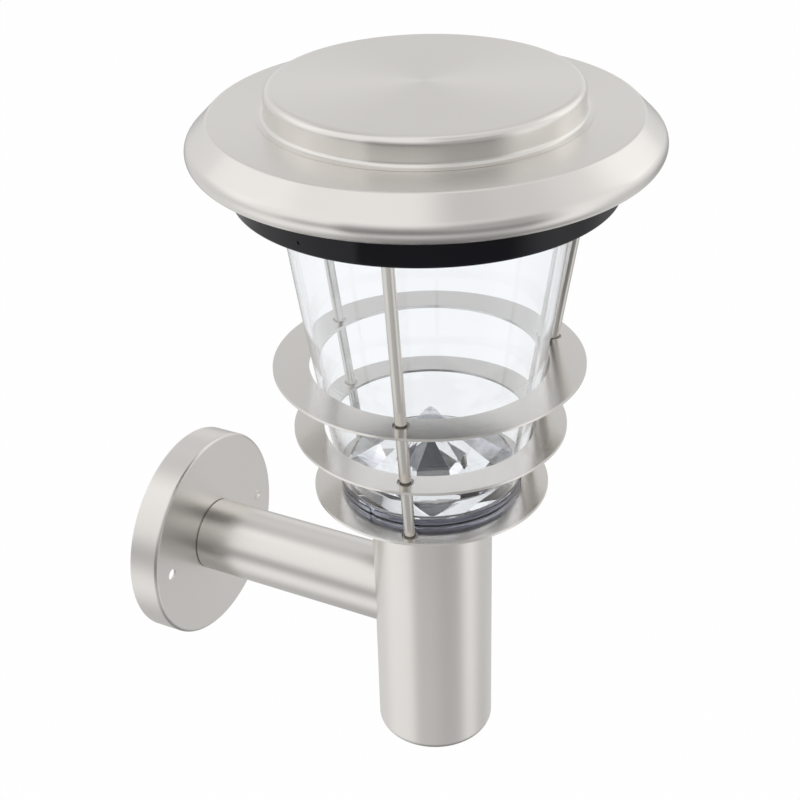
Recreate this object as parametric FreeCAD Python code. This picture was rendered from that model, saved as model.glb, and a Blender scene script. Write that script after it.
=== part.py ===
import FreeCAD, Part
import math
import os
from FreeCAD import Vector

# A solar wall light: a dished plate on the wall, a level arm, an upright tube, and on it a clear
# drafted lens inside a cage of three graded rings on three leaning rods, under a wide pressed hat.
# Millimetres. The origin is the centre of the plate's back rim: +Y points into the wall, so the lamp
# stands at -Y, and +Z is up. Heights are above the arm's axis unless a line says otherwise.

os.makedirs("parts", exist_ok=True)

# Fits and shop allowances
slip_gap = 0.4            # all round, between the head and what it lifts off
seat_gap = 0.2            # between faces of two bodies that lie on each other
pin_gap = 0.08            # all round, pin in its knuckle
fixed_gap = 0.3           # all round, a fixed piece in its hole
over = 1.0                # how far a cutting tool runs past the face
tiny = 0.0002             # points nearer than this are one point

# Wall plate: a shallow dish, open towards the wall, screwed on through two holes
plate_diameter = 81.0
plate_depth = 12.0
plate_wall = 1.0
plate_bend = 2.0
plate_screw_inset = 10.0  # plate's edge to the middle of a hole
plate_screw_hole = 4.5

# Arm and the bolt that draws it against the plate
arm_diameter = 28.0
arm_wall = 1.2
arm_reach = 108.0         # wall to the lamp's axis
end_disc_thickness = 3.0
arm_bolt_diameter = 6.0
arm_bolt_length = 12.0
arm_bolt_head_flats = 10.0
arm_bolt_head_height = 4.0
arm_bolt_chamfer = 0.5
arm_washer_diameter = 16.0
arm_washer_thickness = 1.2

# Upright tube, its rounded bottom and the disc in its top
tube_diameter = 43.0
tube_wall = 1.2
tube_below_arm = 56.0
tube_foot_height = 4.5
tube_foot_bend = 3.0
tube_foot_lip = 6.0
tube_disc_thickness = 1.5

# Cage: a full ring on the tube, two open rings above it, and three leaning rods
lower_ring_height = 53.0
ring_pitch = 24.0
ring_thickness = 1.0
ring_land = 4.55          # lowest ring's rim beyond the rods' axes
ring_land_step = 1.63     # and how much wider each next land is
ring_to_lens_gap = 1.4
rod_count = 3
rod_turn = 15.0           # degrees from the wall direction to the first rod
rod_diameter = 4.0
rod_hole_gap = 0.8        # all round, in the rings
rod_foot_gap = 5.56        # rod axis outside the lens foot, level with the lower ring
rod_head_inset = 3.8      # rod axis inside the collar's wall, level with the collar's underside
rod_grip = 4.0            # length of rod held in the collar
weld_width = 1.1
weld_height = 0.9

# Black collar on top of the rods
collar_rise = 62.3        # above the upper ring
collar_diameter = 124.4
collar_height = 12.7
collar_wall = 2.0
collar_floor = 3.0
collar_edge = 0.8
collar_opening_gap = 0.5   # all round, between its floor and the lens
collar_boss_wall = 1.6
collar_boss_height = 1.9
rod_screw_diameter = 2.5
rod_screw_head_diameter = 4.4
rod_screw_head_height = 1.0
rod_screw_length = 6.0
collar_dimple_diameter = 1.2
collar_dimple_depth = 0.3
collar_dimple_rise = 3.4
collar_dimple_angle = 170.0

# Lens: a drafted clear cup that hangs by its flange in the collar
lens_inset = 14.4         # collar's rim to the lens wall, level with the collar's underside
lens_foot_radius = 31.0
lens_bulge = 1.0          # how far the wall bows out past a straight taper
lens_wall = 2.0
lens_foot_lip = 0.7
lens_foot_height = 3.3
lens_foot_edge = 0.6
lens_notch_count = 3      # moulding notches in the foot
lens_notch_width = 2.0
lens_notch_depth = 0.6
lens_notch_angle = 167.0
lens_flange_reach = 2.6
lens_flange_thickness = 2.0

# Light cone: a clear cone of flat facets on the lens floor, with a pocket for the nut
cone_skirt = 5.5
cone_gap = 0.5
cone_rise = 24.4
cone_facets = 12
cone_tip_radius = 2.2
pip_radius = 1.3
pip_height = 1.1
pip_dimple_radius = 0.7
pip_dimple_depth = 0.7

# Bolt, washer and dark pointed nut that hold the lens and the cone's middle
lens_bolt_diameter = 5.0
lens_bolt_head_flats = 8.0
lens_bolt_head_height = 3.5
lens_bolt_grip = 5.0      # thread inside the nut
lens_washer_diameter = 14.0
lens_washer_thickness = 1.0
nut_flats = 17.0
nut_skirt = 2.0
nut_height = 10.0
nut_tip_radius = 0.8

# Steel hat
hat_overhang = 5.8        # its flat beyond the collar
hat_drop = 13.7           # from the flat down to the rim's lowest line, on a slope of 45 degrees
hat_wall = 0.8
hat_shoulder_bend = 1.2
hat_rim_bend = 4.5
hat_hem_gap = 1.8         # all round, between the hem and the collar
hat_hem_height = 2.5
hat_hem_bend = 1.2
hat_hole_gap = 0.7        # all round, between the hole's edge and the window

# Crown: the pressed cover that stands on the hat over the solar window
crown_inset = 7.8         # its wall inside the chassis wall
crown_height = 9.0
crown_wall = 0.8
crown_bend = 2.5
crown_foot_bend = 1.6
crown_foot_width = 1.9
crown_lift = 25.0

# Chassis: the black tray under the hat
chassis_wall = 2.0
chassis_floor = 2.0
chassis_bend = 1.0
chassis_flange_inset = 2.0  # its rim inside the edge of the hat's flat
seal_width = 2.3
seal_thickness = 1.3
post_count = 3
post_radius = 3.2
head_screw_diameter = 2.5
head_screw_head_diameter = 4.2
head_screw_head_height = 1.3
head_screw_length = 12.0

# Solar module: tray, cell, window and the bezel that clamps it
cell_tray_reach = 0.5     # its rim beyond the crown's wall
cell_tray_height = 2.0
cell_tray_floor = 1.0
cell_across_flats = 76.0
cell_thickness = 0.5
window_thickness = 2.0
window_ledge = 1.8
bezel_gap = 0.6           # all round, inside the crown
bezel_width = 4.8
bezel_edge = 0.5
bezel_lip = 1.9
bezel_lip_thickness = 1.0

# Battery pocket, battery, contacts and hinged door, all on the wall-off side of the axis
battery_diameter = 14.0
battery_length = 49.0
battery_nub_diameter = 5.5
battery_nub_length = 1.3
battery_headroom = 0.4
battery_side_gap = 2.0
spring_room = 5.7         # spare length of the pocket, for the spring and the contact
pocket_clear = 6.0        # reflector's mouth to the pocket
pocket_wall = 1.2
door_gap = 0.4
door_grip_width = 12.0
door_grip_depth = 0.6
hinge_clear = 0.4         # floor to knuckle
hinge_offset = 1.7        # pin beyond the pocket's edge
hinge_pin_diameter = 1.5
hinge_knuckle_radius = 1.6
hinge_knuckle_length = 12.0
hinge_lug_length = 4.0
hinge_side_gap = 0.3
contact_thickness = 0.4
contact_width = 12.0
contact_height = 9.0
spring_wire = 0.7
spring_turns = 3
spring_start_radius = 4.0
spring_end_radius = 2.6

# Light source: reflector, lamp and board over the middle of the floor
reflector_radius = 9.0
reflector_flange = 1.5
reflector_flange_thickness = 0.8
reflector_wall = 0.8
board_height = 3.2        # underside above the chassis floor
board_length = 38.0
board_width = 22.0
board_thickness = 1.2
board_shift = 1.0
standoff_radius = 2.2
standoff_inset = 3.4
lamp_flange_radius = 2.9
lamp_flange_height = 1.1
lamp_radius = 2.5
lamp_body = 1.4
chip_length = 8.0
chip_width = 4.0
chip_height = 1.5
coil_radius = 2.6
coil_height = 4.2
chip_place = 9.0

# Slide switch on the wall side of the axis
switch_post_gap = 10.0    # from the screw post on that side
switch_end_wall = 1.5
switch_width = 6.0
switch_height = 5.0
switch_shell = 1.0
slider_foot_length = 4.4
slider_foot_thickness = 1.6
slider_stem = 2.4
slider_knob_drop = 2.4
slider_travel = 4.0
slider_play = 0.3

straight_share = 0.001    # two runs of a profile that turn by less than this are one line

# Places worked out from the sizes above: radii from the lamp's axis, then heights
collar_radius = collar_diameter / 2
lens_top_radius = collar_radius - lens_inset
lens_flange_radius = lens_top_radius + lens_flange_reach
rod_hole = rod_diameter + 2 * rod_hole_gap
rod_foot_radius = lens_foot_radius + rod_foot_gap
rod_head_radius = collar_radius - collar_wall - rod_head_inset
hat_flat_radius = collar_radius + hat_overhang
hat_hem_radius = collar_radius + hat_hem_gap
chassis_radius = collar_radius - collar_wall - slip_gap
chassis_flange_radius = hat_flat_radius - chassis_flange_inset
crown_radius = chassis_radius - chassis_wall - crown_inset
cell_tray_radius = crown_radius + cell_tray_reach
bezel_radius = crown_radius - crown_wall - bezel_gap
bezel_land = bezel_radius - bezel_width
window_radius = bezel_land - fixed_gap
hat_hole_radius = window_radius + hat_hole_gap
post_circle_radius = (bezel_radius + bezel_land) / 2
switch_offset = post_circle_radius - post_radius - switch_post_gap - switch_width / 2
reflector_top_radius = lamp_flange_radius + fixed_gap
upper_ring_height = lower_ring_height + 2 * ring_pitch
collar_base = upper_ring_height + collar_rise
collar_deck = collar_base + collar_floor
flange_top = collar_deck + lens_flange_thickness
floor_low = flange_top + seat_gap + seal_thickness
floor_top = floor_low + chassis_floor
tray_low = floor_top + battery_diameter + battery_headroom
hat_low = tray_low + cell_tray_height
hat_top = hat_low + hat_wall
window_low = tray_low + cell_tray_floor + cell_thickness + fixed_gap
window_top = window_low + window_thickness
bezel_top = window_top + bezel_lip_thickness
cone_base = lower_ring_height + lens_foot_height
board_low = floor_top + board_height
pocket_length = battery_length + battery_nub_length + spring_room
pocket_width = battery_diameter + 2 * battery_side_gap
pocket_near = -reflector_radius - pocket_clear
pocket_far = pocket_near - pocket_width
pocket_middle = (pocket_near + pocket_far) / 2
battery_axis = floor_top + battery_diameter / 2
switch_length = slider_travel + slider_foot_length + 2 * slider_play + 2 * switch_end_wall
plate_screw_spacing = plate_diameter - 2 * plate_screw_inset

axis_z = Vector(0, 0, 1)
axis_y = Vector(0, 1, 0)
axis_x = Vector(1, 0, 0)
no_move = Vector(0, 0, 0)


# Small tools for profiles

def line_meet(p, u, q, v):
    """Where the line through p along u meets the line through q along v."""
    cross = u[0] * v[1] - u[1] * v[0]
    t = ((q[0] - p[0]) * v[1] - (q[1] - p[1]) * v[0]) / cross
    return (p[0] + u[0] * t, p[1] + u[1] * t)


def unit(p, q):
    """The direction from p to q."""
    length = math.hypot(q[0] - p[0], q[1] - p[1])
    return ((q[0] - p[0]) / length, (q[1] - p[1]) / length)


def bent_edges(corners, closed):
    """Edges in the XZ plane through (radius, height, bend) corners, each bend a tangent arc."""
    count = len(corners)
    entries = []
    for i, corner in enumerate(corners):
        bend = corner[2] if len(corner) > 2 else 0
        inner = closed or 0 < i < count - 1
        if not bend or not inner:
            entries.append([(corner[0], corner[1])])
            continue
        before = corners[i - 1]
        after = corners[(i + 1) % count]
        u = unit(corner, before)
        v = unit(corner, after)
        half = math.acos(max(-1, min(1, u[0] * v[0] + u[1] * v[1]))) / 2
        reach = bend / math.tan(half)
        middle = unit((0, 0), (u[0] + v[0], u[1] + v[1]))
        sag = bend / math.sin(half) - bend
        start = (corner[0] + u[0] * reach, corner[1] + u[1] * reach)
        top = (corner[0] + middle[0] * sag, corner[1] + middle[1] * sag)
        end = (corner[0] + v[0] * reach, corner[1] + v[1] * reach)
        entries.append([start, top, end])
    edges = []
    for i, entry in enumerate(entries):
        points = [Vector(r, 0, z) for r, z in entry]
        if len(points) == 3:
            edges.append(Part.Arc(*points).toShape())
        if i == count - 1 and not closed:
            break
        after = entries[(i + 1) % count][0]
        after = Vector(after[0], 0, after[1])
        if points[-1].distanceToPoint(after) > tiny:
            edges.append(Part.LineSegment(points[-1], after).toShape())
    return edges


def turned(corners):
    """A closed profile of (radius, height, bend) corners turned about the Z axis."""
    face = Part.Face(Part.Wire(bent_edges(corners, True)))
    return face.revolve(no_move, axis_z, 360)


def sheet_turned(corners, wall):
    """A sheet whose outer face follows the open path; the wall lies on the path's right."""
    inner = []
    count = len(corners)
    for i, corner in enumerate(corners):
        before = unit(corners[max(i - 1, 0)], corners[max(i, 1)])
        after = unit(corners[min(i, count - 2)], corners[min(i + 1, count - 1)])
        p = (corner[0] + before[1] * wall, corner[1] - before[0] * wall)
        q = (corner[0] + after[1] * wall, corner[1] - after[0] * wall)
        bend = corner[2] if len(corner) > 2 else 0
        turn = before[0] * after[1] - before[1] * after[0]
        if abs(turn) < straight_share:
            inner.append(p)
            continue
        meet = line_meet(p, before, q, after)
        inner.append((meet[0], meet[1], max(bend + (wall if turn > 0 else -wall), 0)))
    path = list(corners) + inner[::-1]
    path[0] = corners[0][:2]
    return turned([tuple(p) for p in path])


def disc(radius, low, high):
    """A plain disc about the lamp's axis."""
    return Part.makeCylinder(radius, high - low, Vector(0, 0, low))


def hoop(outer, inner, low, high):
    """A flat ring about the lamp's axis."""
    return disc(outer, low, high).cut(disc(inner, low - over, high + over))


def block(length, width, low, high, x=0, y=0):
    """A box centred on x and y."""
    return Part.makeBox(length, width, high - low, Vector(x - length / 2, y - width / 2, low))


def hexagon(flats, low, high, axis=axis_z):
    """A hexagonal prism about the given axis through the origin."""
    corner = flats / 2 / math.cos(math.pi / 6)
    points = [Vector(corner * math.cos(k * math.pi / 3), corner * math.sin(k * math.pi / 3), 0)
              for k in range(7)]
    prism = Part.Face(Part.makePolygon(points)).extrude(Vector(0, 0, high - low))
    prism.translate(Vector(0, 0, low))
    if axis is axis_y:
        prism.rotate(no_move, axis_x, -90)
    return prism


def fused(shapes):
    """One solid from pieces that overlap or share a face."""
    whole = shapes[0]
    for shape in shapes[1:]:
        whole = whole.fuse(shape)
    return whole.removeSplitter()


def on_lamp(shape):
    """Moves a piece made about the Z axis to the lamp's axis."""
    moved = shape.copy()
    moved.translate(Vector(0, -arm_reach, 0))
    return moved


def save(name, shape):
    """Writes one node and reports its solids."""
    print(name, len(shape.Solids), "solid, valid", shape.isValid(), "volume", round(shape.Volume, 1))
    shape.exportStep("parts/" + name + ".step")


# Geometry that several pieces share

def lens_radius(height):
    """Outside radius of the lens wall: one arc from foot to collar, bowed out by the bulge."""
    rise = (collar_base - lower_ring_height) / 2
    lean = lens_top_radius - lens_foot_radius
    chord = math.hypot(rise, lean / 2)
    sweep = (chord * chord + lens_bulge * lens_bulge) / (2 * lens_bulge)
    back = sweep - lens_bulge
    centre_r = (lens_top_radius + lens_foot_radius) / 2 - back * rise / chord
    centre_z = lower_ring_height + rise + back * (lean / 2) / chord
    return centre_r + math.sqrt(sweep * sweep - (height - centre_z) ** 2)


def rod_angles():
    """The rods' directions about the lamp's axis, from the wall direction."""
    return [90 - rod_turn + k * 360 / rod_count for k in range(rod_count)]


def rod_radius(height):
    """How far a rod's axis is from the lamp's axis at the given height."""
    share = (height - lower_ring_height) / (collar_base - lower_ring_height)
    return rod_foot_radius + (rod_head_radius - rod_foot_radius) * share


def rod_point(angle, height):
    """A point on a rod's axis at the given height."""
    turn = math.radians(angle)
    radius = rod_radius(height)
    return Vector(radius * math.cos(turn), radius * math.sin(turn), height)


def along_rod(angle, radius, low, high):
    """A round bar on a rod's axis between two heights."""
    start = rod_point(angle, low)
    way = rod_point(angle, high) - start
    return Part.makeCylinder(radius, way.Length, start, way)


# Wall plate and arm

def wall_plate():
    rim = plate_diameter / 2
    dish = sheet_turned([(0, plate_depth), (rim, plate_depth, plate_bend), (rim, 0)], plate_wall)
    dish.rotate(no_move, axis_x, 90)
    for side in (-1, 1):
        start = Vector(side * plate_screw_spacing / 2, over, 0)
        dish = dish.cut(Part.makeCylinder(plate_screw_hole / 2, plate_depth + 2 * over, start, -axis_y))
    bolt_hole = arm_bolt_diameter / 2 + fixed_gap
    return dish.cut(Part.makeCylinder(bolt_hole, plate_depth + 2 * over, Vector(0, over, 0), -axis_y))


def arm_tube():
    start = Vector(0, -plate_depth, 0)
    length = arm_reach - plate_depth
    outer = Part.makeCylinder(arm_diameter / 2, length, start, -axis_y)
    inner = Part.makeCylinder(arm_diameter / 2 - arm_wall, length + over, start + axis_y * over, -axis_y)
    cope = on_lamp(disc(tube_diameter / 2, -arm_diameter, arm_diameter))
    return outer.cut(inner).cut(cope)


def arm_end_disc():
    radius = arm_diameter / 2 - arm_wall
    start = Vector(0, -plate_depth, 0)
    plug = Part.makeCylinder(radius, end_disc_thickness, start, -axis_y)
    hole = Part.makeCylinder(arm_bolt_diameter / 2, end_disc_thickness + 2 * over,
                             start + axis_y * over, -axis_y)
    return plug.cut(hole)


def arm_bolt():
    seat = plate_depth - plate_wall - arm_washer_thickness
    head = hexagon(arm_bolt_head_flats, -seat, -seat + arm_bolt_head_height)
    rim = [e for e in head.Edges if e.CenterOfMass.z > -seat + arm_bolt_head_height - tiny]
    head = head.makeChamfer(arm_bolt_chamfer, rim)
    head.rotate(no_move, axis_x, -90)
    shank = Part.makeCylinder(arm_bolt_diameter / 2, arm_bolt_length, Vector(0, -seat, 0), -axis_y)
    return fused([head, shank])


def arm_washer():
    start = Vector(0, -(plate_depth - plate_wall), 0)
    plate = Part.makeCylinder(arm_washer_diameter / 2, arm_washer_thickness, start, axis_y)
    hole = Part.makeCylinder(arm_bolt_diameter / 2 + pin_gap, arm_washer_thickness + 2 * over,
                             start - axis_y * over, axis_y)
    return plate.cut(hole)


# Upright tube

def tube_foot_top():
    return -tube_below_arm + tube_foot_height


def body_tube():
    top = lower_ring_height - ring_thickness
    return on_lamp(hoop(tube_diameter / 2, tube_diameter / 2 - tube_wall, tube_foot_top(), top))


def tube_bottom():
    rim = tube_diameter / 2
    lip = rim - tube_wall
    low = -tube_below_arm
    seam = tube_foot_top()
    inner = lip - tube_wall
    top = seam + tube_foot_lip
    profile = [(0, low), (rim, low, tube_foot_bend), (rim, seam), (lip, seam), (lip, top), (inner, top),
               (inner, low + tube_wall, tube_foot_bend - tube_wall), (0, low + tube_wall)]
    return on_lamp(turned(profile))


def tube_disc():
    top = lower_ring_height - ring_thickness
    hole = lens_bolt_diameter / 2 + pin_gap
    return on_lamp(hoop(tube_diameter / 2 - tube_wall, hole, top - tube_disc_thickness, top))


# Cage

def ring(level):
    """Ring number level, counted up from the tube: the lowest is full, the others clear the lens."""
    top = lower_ring_height + level * ring_pitch
    outer = rod_radius(top) + ring_land + level * ring_land_step
    inner = lens_radius(top) + ring_to_lens_gap if level else lens_bolt_diameter / 2 + pin_gap
    plate = hoop(outer, inner, top - ring_thickness, top)
    for angle in rod_angles():
        plate = plate.cut(along_rod(angle, rod_hole / 2, top - ring_thickness - over, top + over))
    return on_lamp(plate)


def rod(angle):
    """One leaning rod, cut level with the lower ring's underside."""
    foot = lower_ring_height - ring_thickness
    bar = along_rod(angle, rod_diameter / 2, foot - over, collar_base + rod_grip)
    return on_lamp(bar.cut(disc(collar_radius, foot - 2 * over, foot)))


def ring_welds():
    """Three small beads at each ring, round the rod and against the ring's underside."""
    beads = []
    for level in range(3):
        under = lower_ring_height + level * ring_pitch - ring_thickness
        high = under + ring_thickness / 2
        low = high - weld_height if level else under
        for angle in rod_angles():
            inside = along_rod(angle, rod_diameter / 2, low - over, high + over)
            bead = along_rod(angle, rod_hole / 2, low, high).cut(inside)
            if level:
                start = rod_point(angle, under)
                skirt = Part.makeCone(rod_hole / 2 + weld_width, rod_diameter / 2 + weld_width / 2,
                                      weld_height, start, -axis_z)
                bead = bead.fuse(skirt.cut(inside))
            beads.append(on_lamp(bead.removeSplitter().Solids[0]))
    return Part.makeCompound(beads)


def collar_ring():
    rim = collar_radius
    inner = rim - collar_wall
    opening = lens_radius(collar_deck) + collar_opening_gap
    top = collar_base + collar_height
    profile = [(opening, collar_base), (rim, collar_base, collar_edge), (rim, top, collar_edge),
               (inner, top), (inner, collar_deck), (opening, collar_deck)]
    body = turned(profile)
    boss_top = collar_deck + collar_boss_height
    boss = rod_diameter / 2 + collar_boss_wall
    bosses = [along_rod(angle, boss, collar_base + collar_floor / 2, boss_top) for angle in rod_angles()]
    body = fused([body] + bosses)
    for angle in rod_angles():
        body = body.cut(along_rod(angle, rod_diameter / 2, collar_base - over, collar_base + rod_grip))
        body = body.cut(along_rod(angle, rod_screw_diameter / 2, collar_base, boss_top + over))
    turn = math.radians(collar_dimple_angle)
    out = Vector(math.cos(turn), math.sin(turn), 0)
    spot = out * (rim - collar_dimple_depth) + axis_z * (collar_base + collar_dimple_rise)
    return on_lamp(body.cut(Part.makeCylinder(collar_dimple_diameter / 2, over, spot, out)))


def rod_screws():
    """A pan-head screw down each boss into the end of its rod."""
    seat = collar_deck + collar_boss_height
    screws = []
    for angle in rod_angles():
        head = along_rod(angle, rod_screw_head_diameter / 2, seat, seat + rod_screw_head_height)
        start = rod_point(angle, collar_base + rod_grip)
        shank = along_rod(angle, rod_screw_diameter / 2, start.z, seat)
        screws.append(on_lamp(fused([head, shank])))
    return Part.makeCompound(screws)


# Lens, cone and what holds them

def lens_wall_edges(inset, low, high):
    """The lens wall's arc between two heights, moved in by the inset."""
    heights = (low, (low + high) / 2, high)
    points = [Vector(lens_radius(z) - inset, 0, z) for z in heights]
    return points, Part.Arc(*points).toShape()


def lens_cup():
    base = lower_ring_height
    foot_top = base + lens_foot_height
    foot = lens_foot_radius + lens_foot_lip
    outer_points, outer = lens_wall_edges(0, foot_top, collar_deck)
    inner_points, inner = lens_wall_edges(lens_wall, foot_top, flange_top)
    first = [(0, base), (foot, base, lens_foot_edge), (foot, foot_top, lens_foot_edge),
             (outer_points[0].x, foot_top)]
    last = [(outer_points[-1].x, collar_deck), (lens_flange_radius, collar_deck),
            (lens_flange_radius, flange_top, lens_foot_edge), (inner_points[-1].x, flange_top)]
    floor = [(inner_points[0].x, foot_top), (0, foot_top), (0, base)]
    edges = bent_edges(first, False) + [outer] + bent_edges(last, False) + [inner]
    cup = Part.Face(Part.Wire(edges + bent_edges(floor, False))).revolve(no_move, axis_z, 360)
    cup = cup.cut(disc(lens_bolt_diameter / 2 + pin_gap, base - over, foot_top + over))
    for k in range(lens_notch_count):
        notch = Part.makeBox(lens_notch_depth + over, lens_notch_width, lens_foot_height + 2 * over,
                             Vector(foot - lens_notch_depth, -lens_notch_width / 2, base - over))
        notch.rotate(no_move, axis_z, lens_notch_angle + k * 360 / lens_notch_count)
        cup = cup.cut(notch)
    return on_lamp(cup)


def nut_corner():
    """Middle to corner of the nut's hexagon."""
    return nut_flats / 2 / math.cos(math.pi / 6)


def light_cone():
    """A solid clear cone: flat facets that rise from an upright skirt to the tip."""
    outer = lens_radius(cone_base) - lens_wall - cone_gap
    tip = cone_base + cone_rise

    def ring(radius, height):
        turns = [2 * math.pi * k / cone_facets for k in range(cone_facets + 1)]
        return Part.makePolygon([Vector(radius * math.cos(t), radius * math.sin(t), height) for t in turns])

    rings = [ring(outer, cone_base), ring(outer, cone_base + cone_skirt), ring(cone_tip_radius, tip)]
    body = Part.makeLoft(rings, True, True)
    nut_low = cone_base + lens_washer_thickness
    pocket = nut_corner() + cone_gap
    shoulder = nut_low + nut_skirt + cone_gap
    roof = nut_low + nut_height + cone_gap
    point = Part.makeCone(pocket, nut_tip_radius + cone_gap, roof - shoulder, Vector(0, 0, shoulder))
    under = fused([disc(pocket, cone_base - over, shoulder), point])
    pip = disc(pip_radius, tip - pip_dimple_depth, tip + pip_height)
    dimple = disc(pip_dimple_radius, tip + pip_height - pip_dimple_depth, tip + pip_height + over)
    return on_lamp(fused([body.cut(under), pip]).cut(dimple))


def lens_bolt():
    seat = lower_ring_height - ring_thickness - tube_disc_thickness
    top = cone_base + lens_washer_thickness + lens_bolt_grip
    head = hexagon(lens_bolt_head_flats, seat - lens_bolt_head_height, seat)
    return on_lamp(fused([head, disc(lens_bolt_diameter / 2, seat, top)]))


def lens_washer():
    hole = lens_bolt_diameter / 2 + pin_gap
    return on_lamp(hoop(lens_washer_diameter / 2, hole, cone_base, cone_base + lens_washer_thickness))


def lens_nut():
    """The dark nut under the cone: a hexagon drawn up to a point, blind inside."""
    low = cone_base + lens_washer_thickness
    shoulder = low + nut_skirt

    def six(radius, height):
        turns = [k * math.pi / 3 for k in range(7)]
        return Part.makePolygon([Vector(radius * math.cos(t), radius * math.sin(t), height) for t in turns])

    point = Part.makeLoft([six(nut_corner(), shoulder), six(nut_tip_radius, low + nut_height)], True, True)
    body = fused([hexagon(nut_flats, low, shoulder), point])
    return on_lamp(body.cut(disc(lens_bolt_diameter / 2, low - over, low + lens_bolt_grip)))


# Head: hat, crown, chassis and solar module

def hat():
    low = hat_top - hat_drop
    path = [(hat_hole_radius, hat_top), (hat_flat_radius, hat_top, hat_shoulder_bend),
            (hat_flat_radius + hat_drop, low, hat_rim_bend), (hat_hem_radius, low, hat_hem_bend),
            (hat_hem_radius, low + hat_hem_height)]
    body = sheet_turned(path, hat_wall)
    for hole in post_bars(head_screw_diameter / 2 + fixed_gap, hat_low - over, hat_top + over):
        body = body.cut(hole)
    return on_lamp(body)


def crown_cover():
    foot = hat_top + seat_gap + crown_wall
    path = [(0, hat_top + crown_height), (crown_radius, hat_top + crown_height, crown_bend),
            (crown_radius, foot, crown_foot_bend), (crown_radius + crown_foot_width, foot)]
    return on_lamp(sheet_turned(path, crown_wall))


def post_spots(height):
    """The head screws' places on their circle."""
    turns = [math.radians(90 + k * 360 / post_count) for k in range(post_count)]
    ways = [Vector(math.cos(t), math.sin(t), 0) for t in turns]
    return [way * post_circle_radius + axis_z * height for way in ways]


def post_bars(radius, low, high):
    """One upright bar for each head screw."""
    return [Part.makeCylinder(radius, high - low, spot) for spot in post_spots(low)]


def standoffs(radius, low, high):
    """The board's two posts."""
    y = board_shift + board_width / 2 - standoff_inset
    x = board_length / 2 - standoff_inset
    return [Part.makeCylinder(radius, high - low, Vector(side * x, y, low)) for side in (-1, 1)]


def hinge_y():
    return pocket_near + hinge_offset


def hinge_z():
    return floor_low - hinge_knuckle_radius - hinge_clear


def hinge_bar(radius, start, length):
    """A bar on the door hinge's axis."""
    return Part.makeCylinder(radius, length, Vector(start, hinge_y(), hinge_z()), axis_x)


def hinge_lug(side):
    """One chassis lug: a rounded ear hanging from the floor round the pin."""
    inner = hinge_knuckle_length / 2 + hinge_side_gap
    start = inner if side > 0 else -inner - hinge_lug_length
    ear = hinge_bar(hinge_knuckle_radius, start, hinge_lug_length)
    drop = floor_low - hinge_z() + chassis_floor / 2
    neck = Part.makeBox(hinge_lug_length, 2 * hinge_knuckle_radius, drop,
                        Vector(start, hinge_y() - hinge_knuckle_radius, hinge_z()))
    return fused([ear, neck])


def chassis():
    """Round black tray: side wall, top flange, screw posts, battery pocket, hinge lugs and openings."""
    inner = chassis_radius - chassis_wall
    profile = [(0, floor_low), (chassis_radius, floor_low, chassis_bend), (chassis_radius, tray_low),
               (chassis_flange_radius, tray_low), (chassis_flange_radius, hat_low), (inner, hat_low),
               (inner, floor_top, chassis_bend), (0, floor_top)]
    body = turned(profile)
    box_top = tray_low - seat_gap
    outer = block(pocket_length + 2 * pocket_wall, pocket_width + 2 * pocket_wall, floor_low, box_top,
                  0, pocket_middle)
    posts = post_bars(post_radius, floor_top - over, tray_low)
    posts += standoffs(standoff_radius, floor_top - over, board_low)
    body = fused([body, outer] + posts + [hinge_lug(-1), hinge_lug(1)])
    body = body.cut(block(pocket_length, pocket_width, floor_low - over, box_top + over, 0, pocket_middle))
    body = body.cut(disc(reflector_radius + fixed_gap, floor_low - over, floor_top + over))
    slot = slider_travel + slider_stem + 2 * slider_play
    body = body.cut(block(slot, slider_stem + 2 * slider_play, floor_low - over, floor_top + over,
                          0, switch_offset))
    for bar in post_bars(head_screw_diameter / 2, screw_tip(), tray_low + over):
        body = body.cut(bar)
    pin = hinge_pin_length()
    return on_lamp(body.cut(hinge_bar(hinge_pin_diameter / 2, -pin / 2, pin)))


def screw_tip():
    return bezel_top - head_screw_length


def hinge_pin_length():
    return hinge_knuckle_length + 2 * (hinge_side_gap + hinge_lug_length)


def lens_seal():
    outer = lens_flange_radius - lens_foot_edge
    return on_lamp(hoop(outer, outer - seal_width, floor_low - seal_thickness, floor_low))


def cell_tray():
    """Disc on the screw posts with a raised rim: a ledge for the window and a land under the hat."""
    outer = cell_tray_radius
    land = hat_hole_radius + fixed_gap
    ledge = window_radius - window_ledge
    profile = [(0, tray_low), (outer, tray_low), (outer, hat_low), (land, hat_low), (land, window_low),
               (ledge, window_low), (ledge, tray_low + cell_tray_floor), (0, tray_low + cell_tray_floor)]
    body = turned(profile)
    for bar in post_bars(head_screw_diameter / 2 + fixed_gap, tray_low - over, hat_low + over):
        body = body.cut(bar)
    return on_lamp(body)


def solar_cell():
    """A wafer with its four corners taken off to fit the round window."""
    low = tray_low + cell_tray_floor
    square = block(cell_across_flats, cell_across_flats, low, low + cell_thickness)
    inner = window_radius - window_ledge - fixed_gap
    return on_lamp(square.common(disc(inner, low - over, low + over)))


def solar_window():
    return on_lamp(disc(window_radius, window_low, window_low + window_thickness))


def window_bezel():
    """Clamp ring on the hat round the window, with a lip over the glass and countersunk holes."""
    lip = window_radius - bezel_lip
    profile = [(lip, window_top), (bezel_land, window_top), (bezel_land, hat_top), (bezel_radius, hat_top),
               (bezel_radius, bezel_top, bezel_edge), (lip, bezel_top)]
    body = turned(profile)
    for bar in post_bars(head_screw_diameter / 2 + pin_gap, hat_top - over, bezel_top + over):
        body = body.cut(bar)
    for cone in screw_heads():
        body = body.cut(cone)
    return on_lamp(body)


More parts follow.
